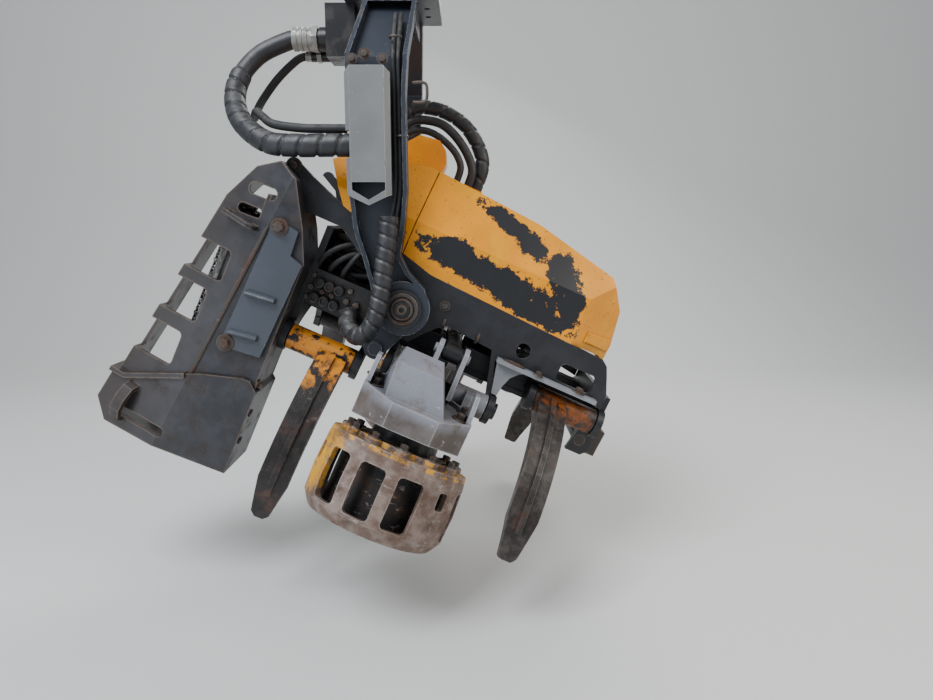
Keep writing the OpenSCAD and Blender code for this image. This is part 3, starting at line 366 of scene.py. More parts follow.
def roller_coat(tree, where):
    """Brown scale outside, near black inside the drum as oil and painted shade, and yellow paint left where
    the roller rubs least.
    """
    apart = add(tree, "SeparateXYZ", {0: where})
    side = add(tree, "Math", {"operation": "ABSOLUTE", 0: apart.outputs["Y"]}).outputs[0]
    one_side = add(tree, "CombineXYZ", {
        "X": apart.outputs["X"], "Y": side, "Z": apart.outputs["Z"]}).outputs[0]
    # The roller's own frame: Z up its leaning axis, zero at the flange
    own = add(tree, "Mapping", {"vector_type": "TEXTURE", "Location": ROLLER_FLANGE,
                                "Rotation": (math.radians(ROLLER_LEAN), 0, 0), "Vector": one_side}).outputs[0]
    level = add(tree, "SeparateXYZ", {0: own}).outputs["Z"]
    across = add(tree, "VectorMath", {"operation": "MULTIPLY", 0: own, 1: (1, 1, 0)}).outputs[0]
    radius = add(tree, "VectorMath", {"operation": "LENGTH", 0: across}).outputs["Value"]
    lighter = patches(tree, where, 40, 0.4, 0.62)
    browner = patches(tree, where, 90, 0.5, 0.7, shift=5)
    left = around(tree, where, (-2, -520, -400), 92, 30, 0.9)
    rim = add(tree, "MapRange", {"From Min": DRUM_TOP - 5, "From Max": DRUM_TOP, "Value": level}).outputs[0]
    worn_rim = patches(tree, where, 30, 0.48, 0.55, shift=50)
    rim = add(tree, "Math", {**PRODUCT, 0: rim, 1: worn_rim}).outputs[0]
    both = add(tree, "Math", {"operation": "MAXIMUM", 0: left, 1: rim}).outputs[0]
    flaked = patches(tree, where, 18, 0.32, 0.44, detail=9.0)
    paint = add(tree, "Math", {**PRODUCT, 0: both, 1: flaked}).outputs[0]
    # Painted shade with oil: inside the drum's wall and below its top, the roller goes near black
    below = add(tree, "MapRange", {
        "From Min": DRUM_TOP, "From Max": DRUM_TOP - 4, "Value": level}).outputs[0]
    inner = add(tree, "MapRange", {
        "From Min": DRUM_INSIDE, "From Max": DRUM_INSIDE - 4, "Value": radius}).outputs[0]
    oil_and_painted_shade = add(tree, "Math", {**PRODUCT, 0: inner, 1: below}).outputs[0]
    # Scale in three tones, the paint that is left, then near black inside the drum: oil and painted shade
    return layered(tree, "#6f5a4e", ("#8d7c72", lighter), ("#4c372b", browner), ("#e3a32a", paint),
                   ("#161413", oil_and_painted_shade))


# %% Coats of the knives and of plate in two tones
def knife_coat(centre, reach, dark, light, paint):
    """Scale between two tones, with paint or rust left round the knife's hub."""
    def coat(tree, where):
        lighter = patches(tree, where, 30, 0.42, 0.66)
        rusty = patches(tree, where, 60, 0.55, 0.72, shift=12)
        hub = around(tree, where, centre, reach, 50, 0.9)
        flaked = patches(tree, where, 38, 0.42, 0.5, detail=12.0, shift=3)
        hub = add(tree, "Math", {**PRODUCT, 0: hub, 1: flaked}).outputs[0]
        return layered(tree, dark, (light, lighter), ("#4a2f22", rusty), (paint, hub))
    return coat


def band_coat(axis, low, high, below, above):
    """One colour below a level along an axis of the head's frame, another above it."""
    def coat(tree, where):
        apart = add(tree, "SeparateXYZ", {0: where})
        level = add(tree, "Math", {"operation": "ABSOLUTE", 0: apart.outputs[axis]}).outputs[0]
        share = add(tree, "MapRange", {"From Min": low, "From Max": high, "Value": level}).outputs[0]
        tone = patches(tree, where, 55, 0.35, 0.65, shift=44)
        shade = add(tree, "Mix", {**OVER, 6: below[0], 7: below[1], 0: tone}).outputs[2]
        return add(tree, "Mix", {**OVER, 6: shade, 7: above, 0: share}).outputs[2]
    return coat


# %% The finishes
# name, coat, metal under it, soil, the coat's roughness, then for rubbed edges, scraped flats and soil
# where the noise starts and where it is full, and what differs from the function's defaults
COATS = [
    # Satin two-part paint on welded plate: even, slightly glossy, scuffed light on edges
    ("sprayed_dark_frame_paint", "#212226", "#77746f", "#3d352f",
     0.4, (0.52, 0.68), (0.76, 0.84), (0.58, 0.82), {}),
    # The same paint, but the shelf and gusset outside the plate's face are rubbed to pale primer
    ("side_plate_paint", band_coat("Y", 251.5, 253, ("#1f2024", "#292a2f"), "#8d9096"), "#a5a3a0", "#3d352f",
     0.4, (0.5, 0.66), (0.76, 0.84), (0.6, 0.84), {}),
    ("sprayed_hanger_paint", "#2f353f", "#a9a9a8", "#4c453e",
     0.38, (0.42, 0.55), (0.7, 0.78), (0.58, 0.8), {}),
    ("sprayed_orange_cover", cover_coat, "#8a7c66", "#7d6440",
     0.32, (0.55, 0.7), (0.78, 0.86), (0.66, 0.86), {"grain": 0.08}),
    # Powder coat gone chalky, with silver flakes where the top layer came off
    ("chalky_guard_coat", "#7b7c7d", "#b9babb", "#5c5851",
     0.42, (0.36, 0.5), (0.66, 0.72), (0.6, 0.85), {"grain": 0.12}),
    # Sand-cast iron under thin grey paint, white on every ridge and soiled on its skirt
    ("cast_housing_paint", band_coat("Z", 212, 184, ("#5b524d", "#6f6a68"), "#8b8d96"), "#cfcdca", "#5f4f44",
     0.5, (0.3, 0.45), (0.64, 0.76), (0.5, 0.74), {"edge_mm": 5}),
    # Plate that drags along the ground: dark paint near the head, brown towards the outer end
    ("dragged_box_plate", band_coat("X", 420, 700, ("#232428", "#33343a"), "#39322e"), "#77675a", "#352b25",
     0.38, (0.28, 0.44), (0.72, 0.84), (0.5, 0.74),
     {"under_rough": 0.5, "under_metal": 0.5, "edge_mm": 7}),
    ("sprayed_blue_grey_plate", "#434952", "#84817d", "#48423c",
     0.36, (0.52, 0.66), (0.74, 0.82), (0.62, 0.85), {}),
    ("worn_cast_roller_steel", roller_coat, "#a79c94", "#5b4233",
     0.6, (0.36, 0.5), (0.58, 0.7), (0.46, 0.7),
     {"under_rough": 0.42, "under_metal": 0.6, "edge_mm": 6, "grain": 0.5}),
    ("scaled_knife_steel_near", knife_coat((-185, -262, -215), 128, "#171312", "#2b2422", "#e08c14"),
     "#6d635c", "#2b1f19", 0.4, (0.4, 0.55), (0.6, 0.72), (0.5, 0.72), {"grain": 0.45}),
    ("scaled_knife_steel", knife_coat((549, -240, -120), 84, "#231f1d", "#453f3b", "#8c4c16"),
     "#75706b", "#33241c", 0.36, (0.34, 0.5), (0.66, 0.8), (0.52, 0.75), {"grain": 0.45}),
    ("oily_black_valve_paint", "#1d1d1f", "#575553", "#3a3029",
     0.34, (0.5, 0.65), (0.7, 0.8), (0.46, 0.7), {}),
    # Rolled bar steel, ground flat: bright where the chain runs
    ("ground_bar_steel", "#6f6d6a", "#a9a8a6", "#3b332d",
     0.34, (0.3, 0.45), (0.5, 0.6), (0.5, 0.75), {"edge_mm": 4, "under_metal": 1.0}),
    ("zinc_plated_steel", "#8d8b86", "#bdbbb6", "#59493c",
     0.36, (0.4, 0.5), (0.55, 0.7), (0.46, 0.68), {"under_metal": 1.0}),
    ("rusty_bolt_steel", "#3f3935", "#7d746c", "#4c3325",
     0.5, (0.36, 0.5), (0.6, 0.72), (0.44, 0.64), {}),
]
FINISH = {name: weathered(name, *columns, **extra) for name, *columns, extra in COATS}
print("finishes:", len(FINISH))

# %% [markdown]
# Cylinder rods are hard chromed: a mirror with a faint lengthwise haze. Hoses are synthetic rubber
# with a cloth-marked cover, dusty grey on top, inside a plastic spiral that keeps branches off.

# %% Chrome and rubber
RUBBER_IOR = 1.52


def chromed_rod():
    material, tree, output = new_material("hard_chromed_rod")
    where = head_millimetres(tree)
    haze = patches(tree, where, 12, 0.3, 0.7, stretch=(1, 1, 0.1))
    colour = add(tree, "Mix", {**OVER, 6: "#b9bbbd", 7: "#d7d8d9", 0: haze}).outputs[2]
    rough = add(tree, "MapRange", {"To Min": 0.10, "To Max": 0.22, "Value": haze}).outputs[0]
    shader = add(tree, "BsdfPrincipled", {"Metallic": 1.0, "Base Color": colour, "Roughness": rough})
    tree.links.new(shader.outputs[0], output.inputs[0])
    return material


def hose_rubber(name, dark, dusty, rough):
    """Extruded synthetic rubber or nylon: matt, dust on the upper side."""
    material, tree, output = new_material(name)
    where = head_millimetres(tree)
    up = add(tree, "SeparateXYZ", {0: add(tree, "NewGeometry").outputs["Normal"]}).outputs["Z"]
    topside = add(tree, "MapRange", {"From Min": -0.1, "From Max": 0.9, "Value": up}).outputs[0]
    dusted = patches(tree, where, 26, 0.34, 0.66, detail=8.0)
    dust = add(tree, "Math", {**PRODUCT, 0: topside, 1: dusted}).outputs[0]
    scuff = patches(tree, where, 14, 0.6, 0.7, detail=6.0, shift=17)
    scuff = add(tree, "Math", {**PRODUCT, 0: scuff, 1: topside}).outputs[0]
    colour = layered(tree, dark, (dusty, dust), ("#6a6662", scuff))
    bumps = add(tree, "TexNoise", {"Scale": 1 / 2.5, "Detail": 4.0, "Vector": where}).outputs["Fac"]
    bump = add(tree, "Bump", {"Strength": 0.2, "Distance": 0.0006, "Height": bumps}).outputs["Normal"]
    shader = add(tree, "BsdfPrincipled", {
        "Roughness": rough, "IOR": RUBBER_IOR, "Base Color": colour, "Normal": bump})
    tree.links.new(shader.outputs[0], output.inputs[0])
    return material


FINISH["hard_chromed_rod"] = chromed_rod()
for name, dark, dusty, rough in (("extruded_hose_rubber", "#1d1e20", "#4a4845", 0.62),
                                 ("spiral_nylon_wrap", "#232428", "#5b5957", 0.46)):
    FINISH[name] = hose_rubber(name, dark, dusty, rough)
print("finishes with chrome and rubber:", len(FINISH))

# %% [markdown]
# The CAD nodes are exact but knife-sharp. Real plate is flame cut and ground, so a narrow bevel goes
# on each one: it catches the light along the edge, as the eye expects of steel.

# %% Dress the CAD nodes
# finish: the width of the bevel in mm, and the nodes that have them
NODE_FINISH = {
    "side_plate_paint": (2.0, ["side_plate_near", "side_plate_far"]),
    "sprayed_dark_frame_paint": (2.0, ["tilt_pins", "frame_rear", "frame_front", "measuring_arm",
                                       "rotator_housing", "rotator_flange"]),
    "sprayed_hanger_paint": (2.0, ["hanger_crown", "hanger_leg_near", "hanger_leg_far", "rotator_link"]),
    "sprayed_orange_cover": (3.0, ["cover_front", "cover_rear"]),
    "chalky_guard_coat": (1.5, ["hose_guard"]),
    "cast_housing_paint": (4.0, ["roller_arm_near", "roller_arm_far"]),
    "dragged_box_plate": (2.5, ["saw_box", "saw_boot", "top_knife"]),
    "sprayed_blue_grey_plate": (1.5, ["saw_guard_plate"]),
    "worn_cast_roller_steel": (2.5, ["feed_roller_near", "feed_roller_far"]),
    "scaled_knife_steel_near": (4.0, ["knife_rear_near", "knife_rear_far"]),
    "scaled_knife_steel": (4.0, ["knife_front_near", "knife_front_far"]),
    "oily_black_valve_paint": (1.5, ["valve_block", "saw_motor", "roller_motor_near", "roller_motor_far",
                                     "arm_cylinder", "bar_cylinder", "port_block"]),
    "ground_bar_steel": (1.0, ["saw_bar", "bar_holder", "measuring_wheel"]),
    "hard_chromed_rod": (1.0, ["bar_rod", "arm_rod"]),
    "extruded_hose_rubber": (0.0, ["hose_loop_thick", "hose_loop_thin", "leg_hoses", "pivot_hoses",
                                   "far_hoses"]),
}
BEVEL_FROM = math.radians(38)


def dress_nodes():
    done = 0
    for finish, (bevel_mm, names) in NODE_FINISH.items():
        for name in names:
            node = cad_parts[name]
            node.data.materials.clear()
            node.data.materials.append(FINISH[finish])
            if bevel_mm:
                bevel = node.modifiers.new("ground_edge", "BEVEL")
                bevel.width, bevel.segments = bevel_mm / 1000, 2
                bevel.limit_method, bevel.angle_limit = "ANGLE", BEVEL_FROM
                bevel.harden_normals = False
            done += 1
    print("dressed nodes:", done, "of", len(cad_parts))


dress_nodes()

# %% [markdown]
# Small pieces are built as lists of points and faces and joined into one mesh per body and finish,
# because a hundred bolts as separate objects would only slow everything down. Shape collects them.

# %% A collector for joined meshes
class Shape:
    """Points in millimetres and faces, gathered from simple forms."""

    def __init__(self):
        self.points, self.faces = [], []

    def put(self, points, faces, at=None):
        start = len(self.points)
        self.points += [tuple(at @ Vector(p)) if at else tuple(p) for p in points]
        self.faces += [[start + i for i in face] for face in faces]

    def rings(self, rings, at=None):
        """Joins rings of equal length into a skin with flat ends."""
        n, last = len(rings[0]), len(rings) - 1
        points = [p for ring in rings for p in ring]
        faces = [(i * n + k, i * n + (k + 1) % n, (i + 1) * n + (k + 1) % n, (i + 1) * n + k)
                 for i in range(last) for k in range(n)]
        faces += [tuple(range(n - 1, -1, -1)), tuple(last * n + k for k in range(n))]
        self.put(points, faces, at)

    def turned(self, profile, sides=24, at=None):
        """profile is (radius, height) up the piece's own Z axis."""
        turns = [math.tau * k / sides for k in range(sides)]
        self.rings([[(r * math.cos(a), r * math.sin(a), z) for a in turns] for r, z in profile], at)

    def plate(self, outline, low, high, edge=1.5, at=None):
        """A flat outline of (x, z), counter-clockwise, from y = high to y = low, with a ground edge."""
        def level(shrink, y):
            return [(x, y, z) for x, z in inset(outline, shrink)]
        self.rings([level(edge, low), level(0, low + edge), level(0, high - edge), level(edge, high)], at)


def inset(outline, distance):
    """The outline moved inward; its points run counter-clockwise."""
    moved, n = [], len(outline)
    for i in range(n):
        a, b, c = (Vector(outline[(i + k) % n]) for k in (-1, 0, 1))
        d1, d2 = (b - a).normalized(), (c - b).normalized()
        n1, n2 = Vector((-d1.y, d1.x)), Vector((-d2.y, d2.x))
        moved.append(tuple(b + (n1 + n2) * (distance / (1 + n1.dot(n2)))))
    return moved


# Edges sharper than this many degrees stay sharp, on pressed and turned forms and on round skins
TURNED_FORM, ROUND_SKIN = 32, 50


def finished(name, shape, place, body, finish="rusty_bolt_steel",
             smooth_angle=TURNED_FORM):
    """Makes the object, in metres in the row frame, and lets it ride on its body."""
    mesh = bpy.data.meshes.new(name)
    mesh.from_pydata([in_metres(p, place) for p in shape.points], [], shape.faces)
    mesh.validate()
    skin = bmesh.new()
    skin.from_mesh(mesh)
    bmesh.ops.recalc_face_normals(skin, faces=skin.faces)
    skin.to_mesh(mesh)
    skin.free()
    mesh.polygons.foreach_set("use_smooth", [True] * len(mesh.polygons))
    mesh.set_sharp_from_angle(angle=math.radians(smooth_angle))
    mesh.materials.append(FINISH[finish])
    piece = bpy.data.objects.new(name, mesh)
    bpy.context.collection.objects.link(piece)
    if body:
        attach(piece, body)
    print(name, len(mesh.polygons), "faces")
    return piece


# %% [markdown]
# A bolt's head is a turned form too, with six sides: a hexagon, chamfered on top, over a round washer.
# Its dimple shows which way it faces even when it is only a few pixels wide.

# %% One bolt
def facing(point, direction):
    """A matrix that puts a form's own Z axis along direction, at point."""
    return Matrix.Translation(point) @ Vector(direction).to_track_quat("Z", "Y").to_matrix().to_4x4()


def bolt(shape, point, direction, across, washer=True):
    """A hexagon head, `across` mm over its flats, with a chamfered top and a washer."""
    at = facing(point, direction)
    base = across * 0.16 if washer else 0
    if washer:
        shape.turned([(across * 0.98, -0.5), (across * 1.02, base * 0.3), (across * 0.98, base)], 24, at)
    r, high = across / math.sqrt(3), base + across * 0.62
    shape.turned([(r, base - 0.3), (r, high - across * 0.08), (r * 0.84, high)], 6, at)
    shape.turned([(r * 0.5, high - 0.2), (r * 0.46, high + 0.6)], 12, at)


# %% [markdown]
# A hydraulic hose is a round tube that bends no tighter than a few diameters. Its centreline here is a
# Catmull-Rom curve through the same points that the CAD uses. Around the thick ones winds a flat
# plastic strip: the mesh radius dips wherever the strip's turns meet, so light breaks on each turn.

# %% Hose centrelines and skins
def curve_through(route, step_mm):
    """Evenly spaced points on a smooth curve through the route."""
    dense = []
    for i in range(len(route) - 1):
        a, b, c, d = (Vector(route[min(max(i + k, 0), len(route) - 1)]) for k in (-1, 0, 1, 2))
        for k in range(24):
            u = k / 24
            dense.append(0.5 * (2 * b + (c - a) * u + (2 * a - 5 * b + 4 * c - d) * u * u
                                + (3 * b - a - 3 * c + d) * u ** 3))
    dense.append(Vector(route[-1]))
    even, gone = [dense[0]], 0.0
    for p, q in zip(dense, dense[1:]):
        run = (q - p).length
        while gone + run >= step_mm:
            p = p + (q - p) * ((step_mm - gone) / run)
            run = (q - p).length
            gone = 0.0
            even.append(p)
        gone += run
    if (even[-1] - dense[-1]).length > step_mm * 0.4:
        even.append(dense[-1])
    else:
        even[-1] = dense[-1]
    return even


def tube(shape, route, step_mm, radius, sides):
    """radius is a number or a function of (length along, angle in turns). Returns the centreline."""
    line = curve_through(route, step_mm)
    side = Vector((0, 1, 0))
    rings, along = [], 0.0
    for i, point in enumerate(line):
        ahead = (line[min(i + 1, len(line) - 1)] - line[max(i - 1, 0)]).normalized()
        side = (side - ahead * side.dot(ahead)).normalized()
        other = ahead.cross(side)
        if i:
            along += (point - line[i - 1]).length
        ring = []
        for k in range(sides):
            turn = k / sides
            r = radius(along, turn) if callable(radius) else radius
            a = math.tau * turn
            ring.append(tuple(point + (side * math.cos(a) + other * math.sin(a)) * r))
        rings.append(ring)
    shape.rings(rings)
    return line


def spiral(radius, pitch, gap, depth):
    """Radius of a wrapped hose: the strip's turns, with a groove of `gap` mm between them."""
    def at(along, turn):
        share = (along / pitch + turn) % 1.0
        from_groove = min(share, 1 - share) * pitch
        return radius - depth * max(0.0, 1 - from_groove / gap) ** 0.5 if from_groove < gap else radius
    return at


def length_of(line):
    return sum((b - a).length for a, b in zip(line, line[1:])) / 1000


# The routes of part.scad, in millimetres from the tilt pivot
THICK_LOOP = [(-290.5, -62, 768), (-301, -62, 768), (-315, -62, 768), (-350, -63, 762), (-430, -74, 722),
              (-480, -105, 654), (-484, -155, 580), (-445, -220, 508), (-362, -282, 450), (-268, -312, 438),
              (-190, -316, 438), (-123, -316, 438)]
THIN_LOOP = [(-290.5, -10, 732), (-298, -10, 732), (-308, -10, 732), (-336, -14, 720), (-391, -22, 668),
             (-438, -30, 606), (-452, -72, 555), (-438, -130, 536), (-415, -190, 543), (-385, -240, 524),
             (-345, -275, 498), (-262, -300, 484), (-190, -305, 482), (-158, -305, 482), (-141.5, -305, 482)]
BARE_LENGTH, BARE_RADIUS = 225, 26.0
THICK_RADIUS, THIN_RADIUS = 30.5, 12.0


def thick_skin(along, turn):
    """Bare rubber near the fitting, then a 50 mm wide strip wound round it."""
    wrapped = spiral(THICK_RADIUS, 50, 5.0, 6.0)(along, turn)
    return BARE_RADIUS + (wrapped - BARE_RADIUS) * min(1.0, max(0.0, (along - BARE_LENGTH) / 10))


# Piece, the node it stands for, route, step along it, skin, radius, sides, finish
LOOPS = [
    ("thick_hose_loop", "hose_loop_thick", THICK_LOOP, 3.0, thick_skin, THICK_RADIUS, 28,
     "spiral_nylon_wrap"),
    ("thin_hose_loop", "hose_loop_thin", THIN_LOOP, 6.0, THIN_RADIUS, THIN_RADIUS, 14,
     "extruded_hose_rubber"),
]


def loop_hoses():
    """The two hoses that swing free between the rotator's block and the near leg."""
    for name, node, route, step, skin, radius, sides, finish in LOOPS:
        shape = Shape()
        line = tube(shape, route, step, skin, sides)
        piece = finished(name, shape, PIVOT, "hanger", finish, ROUND_SKIN)
        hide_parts(node)
        print(name, round(length_of(line), 3), "m long")


loop_hoses()

# %% [markdown]
# The hoses that cross the tilt hinge have to follow both sides of it. Each is made whole and stays
# where it is built, riding on neither the hanger nor the head's frame.

# %% Hoses across the tilt hinge
# Each hose: step along it, radius, sides, route
PIVOT_HOSES = [
    (3.0, spiral(26, 34, 4.0, 5.5), 26,
     [(-30, -350, 250), (-34, -354, 190), (-44, -360, 120), (-52, -364, 50), (-70, -364, -20),
      (-100, -350, -66), (-132, -320, -76), (-156, -290, -54), (-162, -256, -32), (-162, -226.5, -30)]),
]
FAR_HOSES = [
    (3.0, spiral(24, 56, 4.5, 5.0), 24,
     [(-30, 215, 598), (10, 215, 620), (60, 215, 620), (120, 212, 600), (175, 208, 560),
      (212, 204, 505), (230, 197, 455), (229, 191, 410), (205.5, 190, 349.1)]),
    (5.0, 15, 16,
     [(-30, 190, 556), (10, 190, 576), (60, 190, 574), (105, 186, 557), (148, 178, 515),
      (182, 167, 460), (197, 161, 408), (182.6, 160, 359.3)]),
    (5.0, 12, 14,
     [(-30, 176, 522), (5, 176, 541), (45, 176, 540), (85, 174, 522), (118, 168, 494),
      (145, 161, 460), (158, 158, 420), (145.4, 158, 375.8)]),
]
# Piece, its hoses, the node it stands for, and the points between which it bends
CROSSING = [
    ("pivot_hose_bundle", PIVOT_HOSES, "pivot_hoses", (-34, -354, 190), (-140, -300, -60)),
    ("far_hose_arcs", FAR_HOSES, "far_hoses", (-25, 215, 600), (165, 208, 570)),
]


def crossing_hoses():
    for name, hoses, node, start, end in CROSSING:
        shape = Shape()
        for step, radius, sides, route in hoses:
            tube(shape, route, step, radius, sides)
        piece = finished(name, shape, PIVOT, None, "spiral_nylon_wrap", ROUND_SKIN)
        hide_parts(node)
        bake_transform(piece)


crossing_hoses()

# %% [markdown]
# Two thin hoses lie in the near leg's channel, out of the branches' way. They end inside the wrapped
# bundle at the pivot and ride on the hanger alone, so they need no blend.

# %% Hoses down the near leg's channel
LEG_HOSE_RADIUS = 6.2
LEG_ROUTES = [
    [(-2, -190, 800), (-2, -262, 726), (-2, -297, 672), (-2, -303, 640), (-1.5, -300, 480), (-1.5, -300, 330),
     (-12, -300, 250)],
    [(-17, -190, 800), (-17, -262, 726), (-16, -297, 672), (-15.5, -303, 640), (-14.2, -300, 480),
     (-14.2, -300, 330), (-26, -300, 250)],
]


def leg_hoses():
    shape = Shape()
    for route in LEG_ROUTES:
        tube(shape, route, 5.0, LEG_HOSE_RADIUS, 14)
    piece = finished("leg_channel_hoses", shape, PIVOT, "hanger", "extruded_hose_rubber",
                     ROUND_SKIN)
    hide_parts("leg_hoses")


leg_hoses()

# %% [markdown]
# A hose ends in a crimped steel ferrule and a union nut. The ferrule is a turned sleeve with pressed
# rings, wider than the hose it grips. The port block's fittings get them where the two loops begin.

# %% Hose ends
def ferrule(shape, at, radius, length):
    """A crimped sleeve up its own Z axis, with three pressed rings."""
    step = length / 9
    profile = [(radius * 0.86, 0.0), (radius, step)]
    for ring in range(3):
        low = step * (2 + 2 * ring)
        profile += [(radius, low), (radius * 0.92, low + step * 0.3), (radius * 0.92, low + step * 0.8),
                    (radius, low + step * 1.1)]
    profile += [(radius, length - step * 0.4), (radius * 0.84, length)]
    shape.turned(profile, 28, at)


REARWARD = (-1, 0, 0)
# Start, radius and length of a loop's ferrule, then start, inner and outer radius and length of its nut
LOOP_ENDS = [((-263, -62, 768), 33.5, 70, (-256, -62, 768), 30, 38, 20),
             ((-268, -10, 732), 15.5, 40, (-258, -10, 732), 17, 20, 16)]


def hose_ends():
    shape = Shape()
    for start, radius, length, nut, inner, outer, wide in LOOP_ENDS:
        ferrule(shape, facing(start, REARWARD), radius, length)
        shape.turned([(inner, 0), (outer, 2), (outer, wide - 2), (inner, wide)], 6, facing(nut, REARWARD))
    finished("port_hose_ferrules", shape, PIVOT, "hanger", "zinc_plated_steel")


hose_ends()

# %% [markdown]
# Bolts are listed by where they sit and which way their heads face, one table for each body that
# carries them. Sizes follow the plate they clamp: 24 mm across the flats for an M16, 30 for an M20.

# %% Bolts and washers of the frame and the hanger
# Point in the head's frame, facing, across the flats
HEAD_BOLTS = [
    ((106, -250, 47), NEAR, 15), ((-434, -250, 236), NEAR, 22),
    ((-387, -342, 72), NEAR, 24), ((-409, -342, -282), NEAR, 24),
    ((560, -272, -25), (0, 0, 1), 20), ((430, -282, -25), (0, 0, 1), 16),
]
# Bolts in front of this x have a twin on the far side; behind it is the saw, which has none
SAW_SIDE = -300
# Bolts of the hose guard: x and z on its lugs, across the flats
GUARD_FACE = -335
GUARD_BOLTS = [(-119, 651, 15), (-86, 664, 15), (-40, 651, 15), (-119, 356, 13), (-40, 356, 13)]


def mirrored(point):
    return (point[0], -point[1], point[2])


def head_bolts():
    shape = Shape()
    for point, direction, across in HEAD_BOLTS:
        bolt(shape, point, direction, across)
        if point[0] > SAW_SIDE:
            bolt(shape, mirrored(point), mirrored(direction), across)
    finished("frame_bolts", shape, HEAD, "frame")
    shape = Shape()
    for side in (-1, 1):
        # Oval washer pressed into the shelf
        at = Matrix.Translation((356, side * 268, -24)) @ Matrix.Diagonal((1.35, 0.72, 1, 1))
        shape.turned([(25, -2), (25, 3), (21, 5), (13, 5), (11, 2), (11, -2)], 28, at)
    finished("shelf_washers", shape, HEAD, "frame")
    shape = Shape()
    for x, z, across in GUARD_BOLTS:
        bolt(shape, (x, GUARD_FACE, z), NEAR, across)
    finished("hanger_bolts", shape, PIVOT, "hanger")


head_bolts()


# %% Washers over the tilt pins
def pin_caps():
    """Stepped washers over each tilt pin, with a socket screw in the middle."""
    shape = Shape()
    for side in (-1, 1):
        at = facing((0, side * 333, 0), (0, side, 0))
        shape.turned([(45, -1), (45, 3), (43, 5), (36, 5), (34, 1), (31, 1)], 40, at)
        shape.turned([(31, 0), (31, 8), (29, 11), (24, 11), (22, 7), (17, 7), (17, 0)], 36, at)
        shape.turned([(15, 0), (15, 17), (13, 19), (7.5, 19), (7.5, 10)], 24, at)
    finished("tilt_pin_washers", shape, PIVOT, "frame")


pin_caps()

# %% Bolts of the rollers' flanges
FLANGE_BOLTS, BOLT_CIRCLE, FLANGE_TOP = 12, 150, 14


def roller_bolts():
    """Each scallop of the roller's flange holds one bolt that clamps the drum to its motor's hub."""
    for side, body in ((-1, "roller_near"), (1, "roller_far")):
        shape = Shape()
        lean = Matrix.Rotation(math.radians(side * ROLLER_LEAN), 4, "X")
        x, y, z = ROLLER_FLANGE
        axis = Matrix.Translation((x, side * y, z)) @ lean
        for i in range(FLANGE_BOLTS):
            turn = math.tau * i / FLANGE_BOLTS
            point = axis @ Vector((BOLT_CIRCLE * math.cos(turn), BOLT_CIRCLE * math.sin(turn), FLANGE_TOP))
            bolt(shape, point, lean.to_3x3() @ Vector((0, 0, 1)), 20)
        finished(body + "_flange_bolts", shape, HEAD, body)


roller_bolts()


# %% Bolts and pin caps of the roller arms
def arm_bolts():
    """Four deck bolts, and a capped pin through the clevis ears."""
    for side, body in ((-1, "arm_near"), (1, "arm_far")):
        shape = Shape()
        for x, y in ((18, 452), (262, 452), (6, 372), (274, 372)):
            bolt(shape, (x, side * y, -192), (0, 0, 1), 24)
        for x, facing_x in ((124, -1), (229, 1)):
            at = facing((x, side * 236, 0), (facing_x, 0, 0))
            shape.turned([(20, -2), (20, 3), (17, 6), (17, -2)], 20, at)
        finished(body + "_bolts", shape, HEAD, body)


arm_bolts()

# %% [markdown]
# The saw box is all edges: a rounded ridge strip where its face folds back, two ribs on the guard
# plate, flange nuts along the boot. Steel that drags through snow and bark shines on these.

# %% Strips and ribs on the saw box
def bar_between(shape, start, end, half_wide, high, out, ends=0.35):
    """A half-round strip from start to end, `high` mm out of a face that looks along `out`."""
    start, end, out = Vector(start), Vector(end), Vector(out).normalized()
    along = (end - start).normalized()
    across = along.cross(out).normalized()
    rings = []
    for share, size in ((0, ends), (0.04, 1), (0.96, 1), (1, ends)):
        middle = start.lerp(end, share)
        sunk, wide = middle - out * 1.5, across * half_wide * size
        ring = [sunk + wide, sunk - wide]
        for k in range(1, 6):
            a = math.pi * k / 6
            ring.append(middle - wide * math.cos(a) + out * high * size * math.sin(a))
        rings.append([tuple(p) for p in ring])
    shape.rings(rings)


def saw_trim():
    shape = Shape()
    bar_between(shape, (-419, -330, 60), (-479, -330, -480), 7, 5, (-0.15, -1, 0))
    finished("saw_box_ridge_strip", shape, HEAD, "frame")
    shape = Shape()
    bar_between(shape, (-409, -342, -129), (-322, -342, -119), 9, 18, NEAR, 0.2)
    bar_between(shape, (-415, -342, -249), (-330, -342, -236), 9, 14, NEAR, 0.2)
    finished("guard_plate_ribs", shape, HEAD, "frame", "sprayed_blue_grey_plate")
    shape = Shape()
    for z in (-370, -452, -540):
        bolt(shape, (-291, -315, z), (1, 0, 0), 20)
    finished("boot_bolts", shape, HEAD, "frame")


saw_trim()


# %% Ring and hose clamps on the hanger
RING = [(36, -309, 598), (52, -310, 599), (64, -310, 598), (72, -310, 592), (74, -310, 574),
        (72, -310, 556), (64, -310, 549), (52, -310, 548), (36, -309, 549)]
RING_RADIUS, CLAMP_RADIUS = 4.2, 3.2


def hanger_trim():
    """Round bar, bent into a ring on the near leg and into a clamp over its hoses at two heights."""
    shape = Shape()
    tube(shape, RING, 4.0, RING_RADIUS, 10)
    for x, z in ((-9, 714), (5, 463)):
        clamp = [(x - 14, -286, z), (x - 13, -306, z), (x, -312, z), (x + 13, -306, z), (x + 14, -286, z)]
        tube(shape, clamp, 4.0, CLAMP_RADIUS, 10)
    finished("hanger_rings_and_clamps", shape, PIVOT, "hanger")


hanger_trim()

# %% [markdown]
# The open bay in the head's side shows the valve block: round caps over its spools, hex plugs between
# them, and short hoses that drop from the bundle to their ports. Behind them, a close curtain of dark
# hoses runs through the frame and stands in for the shade deep in the bay. None of it has to be exact,
# but a bay of plain blocks would look dead, so each cap gets its chamfer and each hose its ferrule.

# %% The valve bay
VALVE_FACE, CAP_RADIUS = -225, 16
